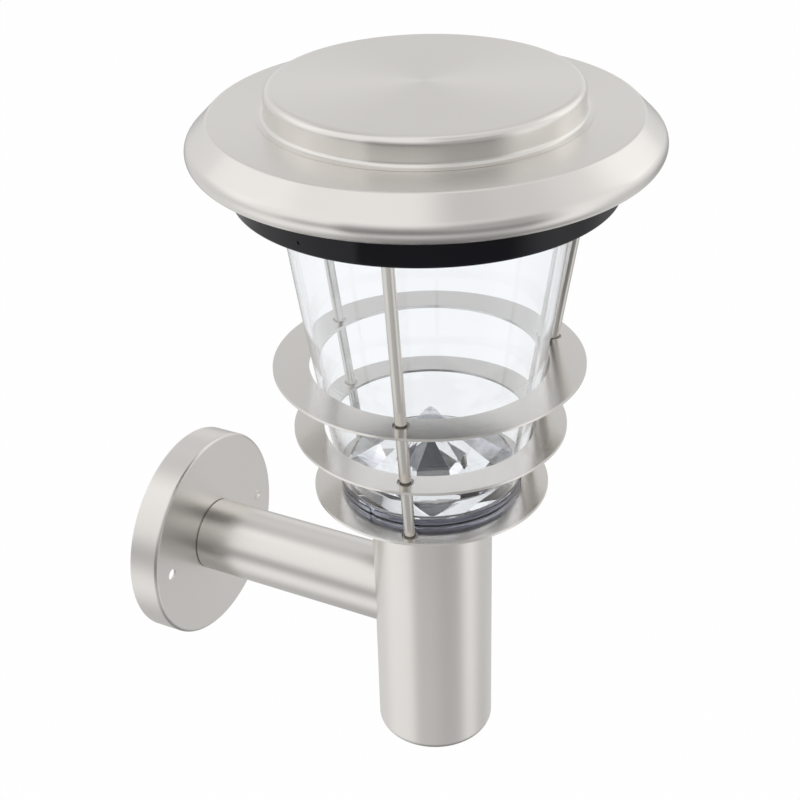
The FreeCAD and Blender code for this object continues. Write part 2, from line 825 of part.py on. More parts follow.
def screw_heads():
    """Countersunk heads, flush with the bezel."""
    spots = post_spots(bezel_top - head_screw_head_height)
    neck = head_screw_diameter / 2
    rim = head_screw_head_diameter / 2
    return [Part.makeCone(neck, rim, head_screw_head_height, spot) for spot in spots]


def head_screws():
    under = bezel_top - head_screw_head_height
    shanks = post_bars(head_screw_diameter / 2, screw_tip(), under)
    return Part.makeCompound([on_lamp(fused(pair)) for pair in zip(screw_heads(), shanks)])


# Battery pocket

def battery():
    start = Vector(-battery_length / 2, pocket_middle, battery_axis)
    can = Part.makeCylinder(battery_diameter / 2, battery_length, start, axis_x)
    nub = Part.makeCylinder(battery_nub_diameter / 2, battery_length + battery_nub_length, start, axis_x)
    return on_lamp(fused([can, nub]))


def contact_plate():
    """Flat spring leaf at the battery's plain end wall."""
    x = pocket_length / 2 - contact_thickness / 2
    low = battery_axis - contact_height / 2
    return on_lamp(block(contact_thickness, contact_width, low, low + contact_height, x, pocket_middle))


def contact_spring():
    """Backing plate and a tapering coil that presses on the battery's other end."""
    x = -pocket_length / 2 + contact_thickness / 2
    low = battery_axis - contact_height / 2
    plate = block(contact_thickness, contact_width, low, low + contact_height, x, pocket_middle)
    start = -pocket_length / 2 + contact_thickness
    bite = contact_thickness / 2
    room = -battery_length / 2 - start
    pitch = (room + bite - spring_wire - seat_gap) / spring_turns
    taper = math.degrees(math.atan2(spring_end_radius - spring_start_radius, pitch * spring_turns))
    helix = Part.makeHelix(pitch, pitch * spring_turns, spring_start_radius, taper)
    wire = Part.Wire(helix.Edges)
    ring_wire = Part.Wire(Part.makeCircle(spring_wire / 2, Vector(spring_start_radius, 0, 0), axis_y))
    coil = wire.makePipeShell([ring_wire], True, True)
    coil.rotate(no_move, axis_y, 90)
    coil.translate(Vector(start + spring_wire / 2 - bite, pocket_middle, battery_axis))
    return on_lamp(fused([plate, coil]))


def battery_door():
    """Flush lid that swings down on one knuckle, with a row of grip ribs at its free edge."""
    low = floor_low
    near = pocket_near - door_gap
    far = pocket_far + door_gap
    thickness = chassis_floor - door_gap
    plate = Part.makeBox(pocket_length - 2 * door_gap, near - far, thickness,
                         Vector(-pocket_length / 2 + door_gap, far, low))
    knuckle = hinge_bar(hinge_knuckle_radius, -hinge_knuckle_length / 2, hinge_knuckle_length)
    web = Part.makeBox(hinge_knuckle_length, hinge_y() - near + hinge_knuckle_radius, hinge_knuckle_radius,
                       Vector(-hinge_knuckle_length / 2, near - hinge_knuckle_radius, hinge_z()))
    stem = Part.makeBox(hinge_knuckle_length, hinge_knuckle_radius, low - hinge_z() + thickness / 2,
                        Vector(-hinge_knuckle_length / 2, near - hinge_knuckle_radius, hinge_z()))
    grips = []
    for k in range(3):
        y = far + (2 * k + 2) * door_grip_depth
        grips.append(Part.makeBox(door_grip_width, door_grip_depth, door_grip_depth + thickness / 2,
                                  Vector(-door_grip_width / 2, y, low - door_grip_depth)))
    body = fused([plate, knuckle, web, stem] + grips)
    hole = hinge_bar(hinge_pin_diameter / 2 + pin_gap, -hinge_knuckle_length, 2 * hinge_knuckle_length)
    return on_lamp(body.cut(hole))


def door_pin():
    pin = hinge_pin_length()
    return on_lamp(hinge_bar(hinge_pin_diameter / 2, -pin / 2, pin))


# Light source and switch

def led_reflector():
    """Conical bright cup in the floor, its flange on the floor's upper face."""
    mouth = reflector_radius
    flange = floor_top + reflector_flange_thickness
    top = board_low - seat_gap
    rim = mouth + reflector_flange
    profile = [(mouth, floor_low), (mouth, floor_top), (rim, floor_top), (rim, flange), (mouth, flange),
               (reflector_top_radius + reflector_wall, top), (reflector_top_radius, top),
               (mouth - reflector_wall, floor_low)]
    return on_lamp(turned(profile))


def led_lamp():
    """Round lamp under the board: flange, body and dome, pointing down at the cone."""
    flange = board_low - lamp_flange_height
    body = flange - lamp_body
    dome = Part.makeSphere(lamp_radius, Vector(0, 0, body))
    foot = disc(lamp_flange_radius, flange, board_low)
    return on_lamp(fused([foot, disc(lamp_radius, body, flange), dome]))


def circuit_board():
    board = block(board_length, board_width, board_low, board_low + board_thickness, 0, board_shift)
    return on_lamp(board)


def board_parts():
    """A driver chip and a coil on the board's upper face."""
    top = board_low + board_thickness
    chip = block(chip_length, chip_width, top, top + chip_height, -chip_place, board_shift)
    coil = Part.makeCylinder(coil_radius, coil_height, Vector(chip_place, board_shift, top))
    return Part.makeCompound([on_lamp(chip), on_lamp(coil)])


def switch_body():
    """Slide switch can on the floor, open below over the slider's foot."""
    can = block(switch_length, switch_width, floor_top, floor_top + switch_height, 0, switch_offset)
    length = slider_travel + slider_foot_length + 2 * slider_play
    cavity = block(length, switch_width - 2 * switch_shell, floor_top - over,
                   floor_top + slider_foot_thickness + 2 * slider_play, 0, switch_offset)
    return on_lamp(can.cut(cavity))


def switch_slider():
    """Slider at the start of its travel: a foot inside the can and a stem that shows below the floor."""
    x = -slider_travel / 2
    foot = block(slider_foot_length, switch_width - 2 * switch_shell - 2 * slider_play,
                 floor_top + slider_play, floor_top + slider_play + slider_foot_thickness, x, switch_offset)
    stem = block(slider_stem, slider_stem, floor_low - slider_knob_drop,
                 floor_top + slider_foot_thickness, x, switch_offset)
    return on_lamp(fused([foot, stem]))


save("wall_plate", wall_plate())
save("arm_tube", arm_tube())
save("arm_end_disc", arm_end_disc())
save("arm_bolt", arm_bolt())
save("arm_washer", arm_washer())
save("body_tube", body_tube())
save("tube_bottom", tube_bottom())
save("tube_disc", tube_disc())
save("lower_ring", ring(0))
save("middle_ring", ring(1))
save("upper_ring", ring(2))
for rod_name, rod_angle in zip(("rod_back", "rod_left", "rod_right"), rod_angles()):
    save(rod_name, rod(rod_angle))
save("ring_welds", ring_welds())
save("collar_ring", collar_ring())
save("rod_screws", rod_screws())
save("lens_cup", lens_cup())
save("light_cone", light_cone())
save("lens_bolt", lens_bolt())
save("lens_washer", lens_washer())
save("lens_nut", lens_nut())
save("hat", hat())
save("crown_cover", crown_cover())
save("chassis", chassis())
save("lens_seal", lens_seal())
save("cell_tray", cell_tray())
save("solar_cell", solar_cell())
save("solar_window", solar_window())
save("window_bezel", window_bezel())
save("head_screws", head_screws())
save("battery", battery())
save("contact_plate", contact_plate())
save("contact_spring", contact_spring())
save("battery_door", battery_door())
save("door_pin", door_pin())
save("led_reflector", led_reflector())
save("led_lamp", led_lamp())
save("circuit_board", circuit_board())
save("board_parts", board_parts())
save("switch_body", switch_body())
save("switch_slider", switch_slider())
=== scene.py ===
import math
import bmesh
import bpy
import numpy as np
from mathutils import Matrix, Vector


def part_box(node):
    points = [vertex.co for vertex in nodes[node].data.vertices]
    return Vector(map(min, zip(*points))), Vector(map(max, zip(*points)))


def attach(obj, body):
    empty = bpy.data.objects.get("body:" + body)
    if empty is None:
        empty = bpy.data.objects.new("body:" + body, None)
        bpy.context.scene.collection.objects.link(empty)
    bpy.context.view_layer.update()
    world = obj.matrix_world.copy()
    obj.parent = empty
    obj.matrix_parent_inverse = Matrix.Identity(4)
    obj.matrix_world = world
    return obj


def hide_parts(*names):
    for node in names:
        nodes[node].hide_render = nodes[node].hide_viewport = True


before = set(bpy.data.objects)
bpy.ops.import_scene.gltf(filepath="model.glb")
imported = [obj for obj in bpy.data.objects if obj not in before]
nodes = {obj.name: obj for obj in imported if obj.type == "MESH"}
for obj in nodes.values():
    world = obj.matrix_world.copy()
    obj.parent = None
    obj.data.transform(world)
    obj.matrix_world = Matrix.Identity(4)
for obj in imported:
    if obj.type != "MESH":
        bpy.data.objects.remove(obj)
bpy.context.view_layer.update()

mm = 0.001
scene = bpy.context.scene
print("frame loaded:", len(nodes), "nodes")


def nodeBox(name):      # lowest and highest corners of a CAD node, as arrays in metres
    low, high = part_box(name)
    return np.array(low), np.array(high)


tubeLow, tubeHigh = nodeBox("body_tube")
lampAxis = np.array([*(tubeLow[:2] + tubeHigh[:2]) / 2, 0.0])     # foot of the upright line through the lamp


# Meshes

# Quads over a grid of points: row i joins row i + 1, column j joins column j + 1, and round again where closed.
def gridFaces(rows, columns, closeRows, closeColumns):
    i = np.arange(rows if closeRows else rows - 1)
    j = np.arange(columns if closeColumns else columns - 1)
    i, j = np.meshgrid(i, j, indexing="ij")
    nextI, nextJ = (i + 1) % rows, (j + 1) % columns
    return np.stack([i * columns + j, nextI * columns + j, nextI * columns + nextJ, i * columns + nextJ], -1)


# Merges doubles, drops faces with no area, points every face outwards, and keeps edges crisp that turn by more
# than so many degrees.
def cleanMesh(obj, sharp=32):
    bm = bmesh.new()
    bm.from_mesh(obj.data)
    bmesh.ops.remove_doubles(bm, verts=bm.verts, dist=0.002 * mm)
    bmesh.ops.dissolve_degenerate(bm, edges=bm.edges, dist=0.001 * mm)
    bmesh.ops.recalc_face_normals(bm, faces=bm.faces)
    bm.to_mesh(obj.data)
    bm.free()
    obj.data.shade_smooth()
    obj.data.set_sharp_from_angle(angle=math.radians(sharp))


def meshFrom(name, parts, sharp=32):        # parts are (points, faces) grids that make one piece
    points, faces, count = [], [], 0
    for partPoints, partFaces in parts:
        points.append(partPoints.reshape(-1, 3))
        faces.append(partFaces.reshape(-1, partFaces.shape[-1]) + count)
        count += len(points[-1])
    mesh = bpy.data.meshes.new(name)
    mesh.from_pydata(np.concatenate(points).tolist(), [], sum((f.tolist() for f in faces), []))
    obj = bpy.data.objects.new(name, mesh)
    scene.collection.objects.link(obj)
    cleanMesh(obj, sharp)
    return obj


# A line through (radius, height, bend) corners in millimetres: every bend is an arc that touches both sides,
# drawn with a point every few degrees, and each side keeps a point close to the arc so that it shades flat.
def bentLine(corners, closed=True, step=7.5):
    points = []
    last = len(corners) - 1
    for k, corner in enumerate(corners):
        p = np.array(corner[:2], float)
        bend = corner[2] if len(corner) > 2 else 0
        if not bend or (not closed and k in (0, last)):
            points.append(p)
            continue
        u = np.array(corners[k - 1][:2], float) - p
        v = np.array(corners[(k + 1) % len(corners)][:2], float) - p
        spare = min(np.linalg.norm(u), np.linalg.norm(v))
        u /= np.linalg.norm(u)
        v /= np.linalg.norm(v)
        half = math.acos(max(-1, min(1, float(u @ v)))) / 2
        reach = bend / math.tan(half)
        centre = p + (u + v) / np.linalg.norm(u + v) * bend / math.sin(half)
        start = p + u * reach - centre
        sweep = math.copysign(math.pi - 2 * half, float(u[1] * v[0] - u[0] * v[1]))
        turn = np.linspace(0, sweep, max(3, int(abs(math.degrees(sweep)) / step)) + 1)
        c, s = np.cos(turn), np.sin(turn)
        support = min(bend * 0.25, (spare - reach) * 0.3)
        if support > 0.01:
            points.append(p + u * (reach + support))
        points.extend(centre + np.stack([start[0] * c - start[1] * s, start[0] * s + start[1] * c], -1))
        if support > 0.01:
            points.append(p + v * (reach + support))
    return np.array(points)


# A sheet whose outer face follows the corners and whose wall lies on their right: the inner face is the same
# line moved in by the wall, and its bends are tighter or wider by the wall.
def sheetLine(corners, wall, edge=0.0):
    inner = []
    last = len(corners) - 1
    for k, corner in enumerate(corners):
        a, b = np.array(corners[max(k - 1, 0)][:2], float), np.array(corners[max(k, 1)][:2], float)
        c, d = np.array(corners[min(k, last - 1)][:2], float), np.array(corners[min(k + 1, last)][:2], float)
        u, v = (b - a) / np.linalg.norm(b - a), (d - c) / np.linalg.norm(d - c)
        sideU, sideV = np.array([u[1], -u[0]]), np.array([v[1], -v[0]])
        here = np.array(corner[:2], float)
        turn = u[0] * v[1] - u[1] * v[0]
        if abs(turn) < 1e-6:
            inner.append((*(here + sideU * wall), edge))
            continue
        slide = wall * (1 - float(sideU @ sideV)) / turn
        bend = corner[2] if len(corner) > 2 else 0
        inner.append((*(here + sideU * wall + u * slide), max(bend + math.copysign(wall, turn), 0) if bend else 0))
    outer = [tuple(c) for c in corners]
    if edge:
        outer[0] = (*outer[0][:2], edge if corners[0][0] else 0)
        outer[-1] = (*outer[-1][:2], edge)
    if not corners[0][0]:
        inner[0] = (*inner[0][:2], 0)
    return bentLine(outer + inner[::-1])


# A profile turned about the lamp's axis: x = radius cos turn, y = radius sin turn, z = height.
def turnedGrid(profile, around=192, closed=True):
    turn = np.linspace(0, 2 * math.pi, around, endpoint=False)
    radius, height = profile[:, 0, None] * mm, profile[:, 1, None] * mm
    points = np.stack([radius * np.cos(turn), radius * np.sin(turn), height + 0 * turn], -1) + lampAxis
    return points, gridFaces(len(profile), around, closeRows=closed, closeColumns=True)


def turnedPiece(name, profile, around=192, closed=True):
    return meshFrom(name, [turnedGrid(profile, around, closed)])


# A profile turned about the line from start to end: along it by the height, out from it by the radius.
def barGrid(profile, start, end, around=48, closed=False):
    w = (end - start) / np.linalg.norm(end - start)
    u = np.cross(w, [0.0, 0.0, 1.0] if abs(w[2]) < 0.9 else [0.0, 1.0, 0.0])
    u /= np.linalg.norm(u)
    v = np.cross(w, u)
    turn = np.linspace(0, 2 * math.pi, around, endpoint=False)[None, :, None]
    radius, height = profile[:, 0, None, None] * mm, profile[:, 1, None, None] * mm
    points = start + w * height + (u * np.cos(turn) + v * np.sin(turn)) * radius
    return points, gridFaces(len(profile), around, closeRows=closed, closeColumns=True)


def barPiece(name, radius, start, end, edge=0.2, around=48):      # a round bar with softened ends
    length = np.linalg.norm(end - start) / mm
    line = bentLine([(0, 0), (radius, 0, edge), (radius, length, edge), (0, length)], closed=False)
    return meshFrom(name, [barGrid(line, start, end, around)])


# A block about a centre, turned about Z: corners are the centre plus or minus half the size on each axis.
def blockPiece(name, centre, size, turn=0.0):
    signs = np.array([(x, y, z) for z in (-1, 1) for x, y in ((-1, -1), (1, -1), (1, 1), (-1, 1))], float)
    c, s = math.cos(turn), math.sin(turn)
    points = signs * np.array(size) * mm / 2 @ np.array([(c, s, 0), (-s, c, 0), (0, 0, 1)]) + centre
    faces = np.array([(3, 2, 1, 0), (4, 5, 6, 7), (0, 1, 5, 4), (1, 2, 6, 5), (2, 3, 7, 6), (3, 0, 4, 7)])
    return meshFrom(name, [(points, faces)])


def drill(obj, cutters):        # takes each closed cutter out of the piece, then deletes the cutter
    for cutter in cutters:
        cut = obj.modifiers.new("hole", "BOOLEAN")
        cut.operation = "DIFFERENCE"
        cut.solver = "EXACT"
        cut.object = cutter
        bpy.context.view_layer.update()
        graph = bpy.context.evaluated_depsgraph_get()
        made = bpy.data.meshes.new_from_object(obj.evaluated_get(graph))
        obj.modifiers.clear()
        obj.data, old = made, obj.data
        bpy.data.meshes.remove(old)
        bpy.data.objects.remove(cutter)
    cleanMesh(obj)
    return obj


# Materials. A noise's scale is its patterns per metre: 55 makes a ripple every 18 mm, 350 a cloud every 3 mm.

def linear(hexColour):      # sRGB hex to a linear colour with alpha 1
    parts = [int(hexColour[k:k + 2], 16) / 255 for k in (1, 3, 5)]
    return tuple(c / 12.92 if c <= 0.04045 else ((c + 0.055) / 1.055) ** 2.4 for c in parts) + (1.0,)


def addNode(tree, kind, inputs=None, **settings):   # an input is a value, a socket, or a node for its first output
    made = tree.nodes.new(kind)
    for key, value in settings.items():
        setattr(made, key, value)
    for key, value in (inputs or {}).items():
        if isinstance(value, bpy.types.Node):
            value = value.outputs[0]
        if isinstance(value, bpy.types.NodeSocket):
            tree.links.new(value, made.inputs[key])
        else:
            made.inputs[key].default_value = value
    return made


def newMaterial(name):      # an emptied material, its node tree, and the coordinates of the piece that wears it
    material = bpy.data.materials.new(name)
    material.use_nodes = True
    tree = material.node_tree
    tree.nodes.clear()
    return material, tree, addNode(tree, "ShaderNodeTexCoord").outputs["Object"]


def finishMaterial(tree, surface, volume=None):
    ends = {"Surface": surface, "Volume": volume} if volume else {"Surface": surface}
    addNode(tree, "ShaderNodeOutputMaterial", ends)


noiseRange = {"From Min": 0.3, "From Max": 0.7}      # a noise hardly ever leaves it

steel = {
    "colour": "#E6E3DF",        # bare stainless under white light
    "grain": 0.14,              # mm from line to line; a real satin belt leaves 0.05, too fine to show here
    "run": 30,                  # mm that one line runs
    "girth": 50,                # mm from the axis to where a round line has that run
    "rise": 1.3,                # how much closer round lines lie on a wall than on a flat
    "cloud": 25,                # mm across a dull patch
    "roughness": 0.20,
    "swing": 0.02,              # how far the roughness drifts each way
    "bump": 0.0003,             # mm
    "spread": 0.75,             # how much wider reflections are across the lines than along them
}


# Stainless steel, satin brushed with a fine belt: fine lines that draw each reflection out across them and
# leave it crisp along them, over a slow cloudiness. The lines run straight along the axis, or go round it and
# change with radius + rise x height, so that flats and walls both show them.
def brushedSteel(name, axis, centre, straight=False, **changes):
    look = {**steel, **changes}
    material, tree, spot = newMaterial(name)
    moved = addNode(tree, "ShaderNodeVectorMath", {0: spot, 1: tuple(centre)}, operation="SUBTRACT")
    fine, slow = 1000 / look["grain"], 1000 / look["run"]
    if straight:
        scale = tuple(slow if a else fine for a in axis)
        grainAt = addNode(tree, "ShaderNodeVectorMath", {0: moved, 1: scale}, operation="MULTIPLY")
        tangent = addNode(tree, "ShaderNodeCombineXYZ", dict(enumerate(axis)))
    else:
        flatten = tuple(0.0 if a else 1.0 for a in axis)
        flat = addNode(tree, "ShaderNodeVectorMath", {0: moved, 1: flatten}, operation="MULTIPLY")
        radius = addNode(tree, "ShaderNodeVectorMath", {0: flat}, operation="LENGTH").outputs["Value"]
        heading = addNode(tree, "ShaderNodeVectorMath", {0: flat}, operation="NORMALIZE")
        height = addNode(tree, "ShaderNodeVectorMath", {0: moved, 1: tuple(axis)}, operation="DOT_PRODUCT")
        across = addNode(tree, "ShaderNodeMath", {0: height.outputs["Value"], 1: look["rise"], 2: radius},
                         operation="MULTIPLY_ADD")
        lines = addNode(tree, "ShaderNodeMath", {0: across, 1: fine}, operation="MULTIPLY")
        along = addNode(tree, "ShaderNodeVectorMath", {0: heading, "Scale": look["girth"] * mm * slow},
                        operation="SCALE")
        stack = addNode(tree, "ShaderNodeVectorMath", {0: tuple(axis), "Scale": lines}, operation="SCALE")
        grainAt = addNode(tree, "ShaderNodeVectorMath", {0: along, 1: stack}, operation="ADD")
        tangent = addNode(tree, "ShaderNodeVectorMath", {0: tuple(axis), 1: moved}, operation="CROSS_PRODUCT")
    grain = addNode(tree, "ShaderNodeTexNoise", {"Vector": grainAt, "Scale": 1.0, "Detail": 3.0})
    cloud = addNode(tree, "ShaderNodeTexNoise", {"Vector": moved, "Scale": 1000 / look["cloud"], "Detail": 2.0})
    both = addNode(tree, "ShaderNodeMath", {0: grain, 1: cloud}, operation="ADD")
    rough = addNode(tree, "ShaderNodeMapRange", {"Value": both, "From Min": 0.6, "From Max": 1.4,
                    "To Min": look["roughness"] - look["swing"], "To Max": look["roughness"] + look["swing"]})
    bump = addNode(tree, "ShaderNodeBump", {"Height": grain, "Distance": look["bump"] * mm, "Strength": 1.0})
    metal = addNode(tree, "ShaderNodeBsdfPrincipled", {"Base Color": linear(look["colour"]), "Metallic": 1.0,
                    "Roughness": rough, "Anisotropic": look["spread"], "Anisotropic Rotation": 0.25,
                    "Tangent": tangent, "Normal": bump})
    finishMaterial(tree, metal)
    return material


# Injection moulded clear plastic: glassy on both faces with a faint ripple (mm deep), a cool cast where it is
# thick, and open to shadow rays, as a thin clear wall is.
def clearPlastic(name, colour="#FCFDFE", roughness=0.02, ior=1.49, density=0.0, ripple=0.0):
    material, tree, spot = newMaterial(name)
    wave = addNode(tree, "ShaderNodeTexNoise", {"Vector": spot, "Scale": 55.0, "Detail": 2.0})
    dust = addNode(tree, "ShaderNodeTexNoise", {"Vector": spot, "Scale": 700.0, "Detail": 4.0})
    bump = addNode(tree, "ShaderNodeBump", {"Height": wave, "Distance": ripple * mm, "Strength": 1.0})
    rough = addNode(tree, "ShaderNodeMapRange", {"Value": dust, "From Min": 0.35, "From Max": 0.75,
                    "To Min": roughness * 0.6, "To Max": roughness * 1.6})
    glass = addNode(tree, "ShaderNodeBsdfPrincipled", {"Base Color": linear(colour), "IOR": ior,
                    "Roughness": rough, "Transmission Weight": 1.0, "Normal": bump})
    through = addNode(tree, "ShaderNodeBsdfTransparent", {"Color": linear("#F6F7F9")})
    rays = addNode(tree, "ShaderNodeLightPath")
    mix = addNode(tree, "ShaderNodeMixShader", {0: rays.outputs["Is Shadow Ray"], 1: glass, 2: through})
    volume = None
    if density:
        volume = addNode(tree, "ShaderNodeVolumeAbsorption", {"Color": linear("#E4E8F4"), "Density": density})
    finishMaterial(tree, mix, volume)
    return material


# Clear plastic that bends nothing: the lens floor, flat on steel, and the cone's tip. All that shows is what lies
# behind it, under a faint gloss.
def faintPlastic(name, shows=0.12, roughness=0.05):
    material, tree, spot = newMaterial(name)
    wave = addNode(tree, "ShaderNodeTexNoise", {"Vector": spot, "Scale": 60.0, "Detail": 2.0})
    rough = addNode(tree, "ShaderNodeMapRange", {"Value": wave, **noiseRange,
                    "To Min": roughness * 0.6, "To Max": roughness * 1.5})
    bump = addNode(tree, "ShaderNodeBump", {"Height": wave, "Distance": 0.01 * mm, "Strength": 1.0})
    clear = addNode(tree, "ShaderNodeBsdfPrincipled", {"Base Color": linear("#EFF1F6"), "IOR": 1.49,
                    "Roughness": rough, "Alpha": shows, "Normal": bump})
    finishMaterial(tree, clear)
    return material


# Injection moulded plastic, coloured right through: faint flow marks in the shine, and a fine skin from the tool
# (its depth and the size of its grain in mm).
def mouldedPlastic(name, colour, roughness, skin=0.0, skinSize=0.4, ior=1.5, second=None):
    material, tree, spot = newMaterial(name)
    flow = addNode(tree, "ShaderNodeTexNoise", {"Vector": spot, "Scale": 30.0, "Detail": 3.0, "Distortion": 0.6})
    pits = addNode(tree, "ShaderNodeTexNoise", {"Vector": spot, "Scale": 1000 / skinSize, "Detail": 2.0})
    rough = addNode(tree, "ShaderNodeMapRange", {"Value": flow, **noiseRange,
                    "To Min": roughness * 0.8, "To Max": roughness * 1.2})
    bump = addNode(tree, "ShaderNodeBump", {"Height": pits, "Distance": skin * mm, "Strength": 1.0})
    base = linear(colour)
    if second:
        base = addNode(tree, "ShaderNodeMix", {0: flow, 6: base, 7: linear(second)}, data_type="RGBA").outputs[2]
    plastic = addNode(tree, "ShaderNodeBsdfPrincipled", {"Base Color": base, "IOR": ior, "Roughness": rough,
                      "Normal": bump})
    finishMaterial(tree, plastic)
    return material


# Zinc or nickel plate on small turned and stamped parts: bright and a little cloudy, with an orange peel (mm deep).
def platedMetal(name, colour, roughness, peel=0.0):
    material, tree, spot = newMaterial(name)
    cloud = addNode(tree, "ShaderNodeTexNoise", {"Vector": spot, "Scale": 350.0, "Detail": 3.0})
    rough = addNode(tree, "ShaderNodeMapRange", {"Value": cloud, **noiseRange,
                    "To Min": roughness * 0.75, "To Max": roughness * 1.3})
    bump = addNode(tree, "ShaderNodeBump", {"Height": cloud, "Distance": peel * mm, "Strength": 1.0})
    metal = addNode(tree, "ShaderNodeBsdfPrincipled", {"Base Color": linear(colour), "Metallic": 1.0,
                    "Roughness": rough, "Normal": bump})
    finishMaterial(tree, metal)
    return material


cellPrint = {"fingerPitch": 2.0, "finger": 0.14, "busPitch": 26.0, "bus": 1.4,       # mm
             "dark": "#0C1430", "light": "#1B2B5C", "silver": "#B9BCC2"}


# Silicon cell behind its laminate: dark blue crystal grains under a clear gloss, crossed by printed silver
# fingers and two busbars. A mark is where the distance to the nearest line is less than half its width.
def siliconCell(name, centre):
    material, tree, spot = newMaterial(name)
    moved = addNode(tree, "ShaderNodeVectorMath", {0: spot, 1: tuple(centre)}, operation="SUBTRACT")
    axes = addNode(tree, "ShaderNodeSeparateXYZ", {0: moved}).outputs
    marks = []
    for value, shift, pitch, width in ((axes["X"], 0, cellPrint["fingerPitch"], cellPrint["finger"]),
                                       (axes["Y"], 0.5, cellPrint["busPitch"], cellPrint["bus"])):
        shifted = addNode(tree, "ShaderNodeMath", {0: value, 1: shift * pitch * mm}, operation="ADD")
        apart = addNode(tree, "ShaderNodeMath", {0: shifted, 1: pitch / 2 * mm}, operation="PINGPONG")
        marks.append(addNode(tree, "ShaderNodeMath", {0: apart, 1: width / 2 * mm}, operation="LESS_THAN"))
    silver = addNode(tree, "ShaderNodeMath", {0: marks[0], 1: marks[1]}, operation="MAXIMUM")
    grains = addNode(tree, "ShaderNodeTexVoronoi", {"Vector": spot, "Scale": 220.0}).outputs["Color"]
    crystal = addNode(tree, "ShaderNodeMix", {0: grains, 6: linear(cellPrint["dark"]),
                      7: linear(cellPrint["light"])}, data_type="RGBA")
    face = addNode(tree, "ShaderNodeMix", {0: silver, 6: crystal.outputs[2], 7: linear(cellPrint["silver"])},
                   data_type="RGBA")
    cell = addNode(tree, "ShaderNodeBsdfPrincipled", {"Base Color": face.outputs[2], "Metallic": silver,
                   "Roughness": 0.35, "Coat Weight": 1.0, "Coat Roughness": 0.06})
    finishMaterial(tree, cell)
    return material


sleeve = {"main": "#2F7152", "band": "#C9CDD1", "can": "#C4C6C8", "bandWidth": 11.0, "bareEnd": 2.2}     # mm


# AA cell: a printed sleeve in two colours, shrunk over a plated can whose ends stay bare and bright.
def sleevedCell(name, low, high):
    material, tree, spot = newMaterial(name)
    along = addNode(tree, "ShaderNodeSeparateXYZ", {0: spot}).outputs["X"]
    middle, half = (low[0] + high[0]) / 2, (high[0] - low[0]) / 2
    shifted = addNode(tree, "ShaderNodeMath", {0: along, 1: middle}, operation="SUBTRACT")
    away = addNode(tree, "ShaderNodeMath", {0: shifted}, operation="ABSOLUTE")
    bare = addNode(tree, "ShaderNodeMath", {0: away, 1: half - sleeve["bareEnd"] * mm}, operation="GREATER_THAN")
    banded = addNode(tree, "ShaderNodeMath", {0: shifted, 1: half - sleeve["bandWidth"] * mm},
                     operation="GREATER_THAN")
    printed = addNode(tree, "ShaderNodeMix", {0: banded, 6: linear(sleeve["main"]), 7: linear(sleeve["band"])},
                      data_type="RGBA")
    face = addNode(tree, "ShaderNodeMix", {0: bare, 6: printed.outputs[2], 7: linear(sleeve["can"])},
                   data_type="RGBA")
    wear = addNode(tree, "ShaderNodeTexNoise", {"Vector": spot, "Scale": 260.0, "Detail": 3.0})
    rough = addNode(tree, "ShaderNodeMapRange", {"Value": wear, **noiseRange, "To Min": 0.18, "To Max": 0.32})
    cell = addNode(tree, "ShaderNodeBsdfPrincipled", {"Base Color": face.outputs[2], "Metallic": bare,
                   "Roughness": rough})
    finishMaterial(tree, cell)
    return material


def dressNode(name, material):      # a CAD node keeps its mesh and gets a finished material
    obj = nodes[name]
    if not obj.material_slots:
        obj.data.materials.append(material)
    for slot in obj.material_slots:
        slot.material = material


# Gives a piece its material and the body that it rides, and hides the nodes it stands for. Its slot in the record is
# not used.
def put(obj, body, slot, material, *replaced):
    obj.data.materials.clear()
    obj.data.materials.append(material)
    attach(obj, body)
    if replaced:
        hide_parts(*replaced)


alongX, alongY, alongZ = (1, 0, 0), (0, 1, 0), (0, 0, 1)

# Spun, drawn and belt brushed stainless: soft bands of the tent, drawn out across each part's own grain.
spunSteel = brushedSteel("spunStainless", alongZ, lampAxis, roughness=0.25)
tubeSteel = brushedSteel("brushedStainlessTube", alongZ, lampAxis, straight=True, roughness=0.29, spread=0.2)
armSteel = brushedSteel("brushedStainlessArm", alongY, (0, 0, 0), straight=True, roughness=0.29, spread=0.2)
plateSteel = brushedSteel("brushedStainlessPlate", alongY, (0, 0, 0), roughness=0.34, spread=0.25)
ringSteel = brushedSteel("brushedStainlessSheet", alongX, lampAxis, straight=True, roughness=0.20, spread=0.35)
rodSteel = brushedSteel("drawnStainlessRod", alongZ, lampAxis, straight=True, roughness=0.20, spread=0.3,
                        colour="#D6D3CE")

# Clear mouldings: the lens hardly tints what is behind it, the foot is lilac, and the cone breaks light up.
lensClear = clearPlastic("mouldedClearLens", roughness=0.01, density=22.0, ripple=0.004)
footClear = clearPlastic("mouldedClearFoot", colour="#EAEDFF", roughness=0.02, ripple=0.01)
coneClear = clearPlastic("mouldedClearCone", roughness=0.01)
tipClear = faintPlastic("mouldedClearTip", shows=0.32, roughness=0.03)
floorClear = faintPlastic("mouldedClearFloor")
windowClear = clearPlastic("flatClearWindow", roughness=0.01, ior=1.5)
lampClear = clearPlastic("warmLampEpoxy", colour="#FFF1CC", roughness=0.04, ior=1.52)

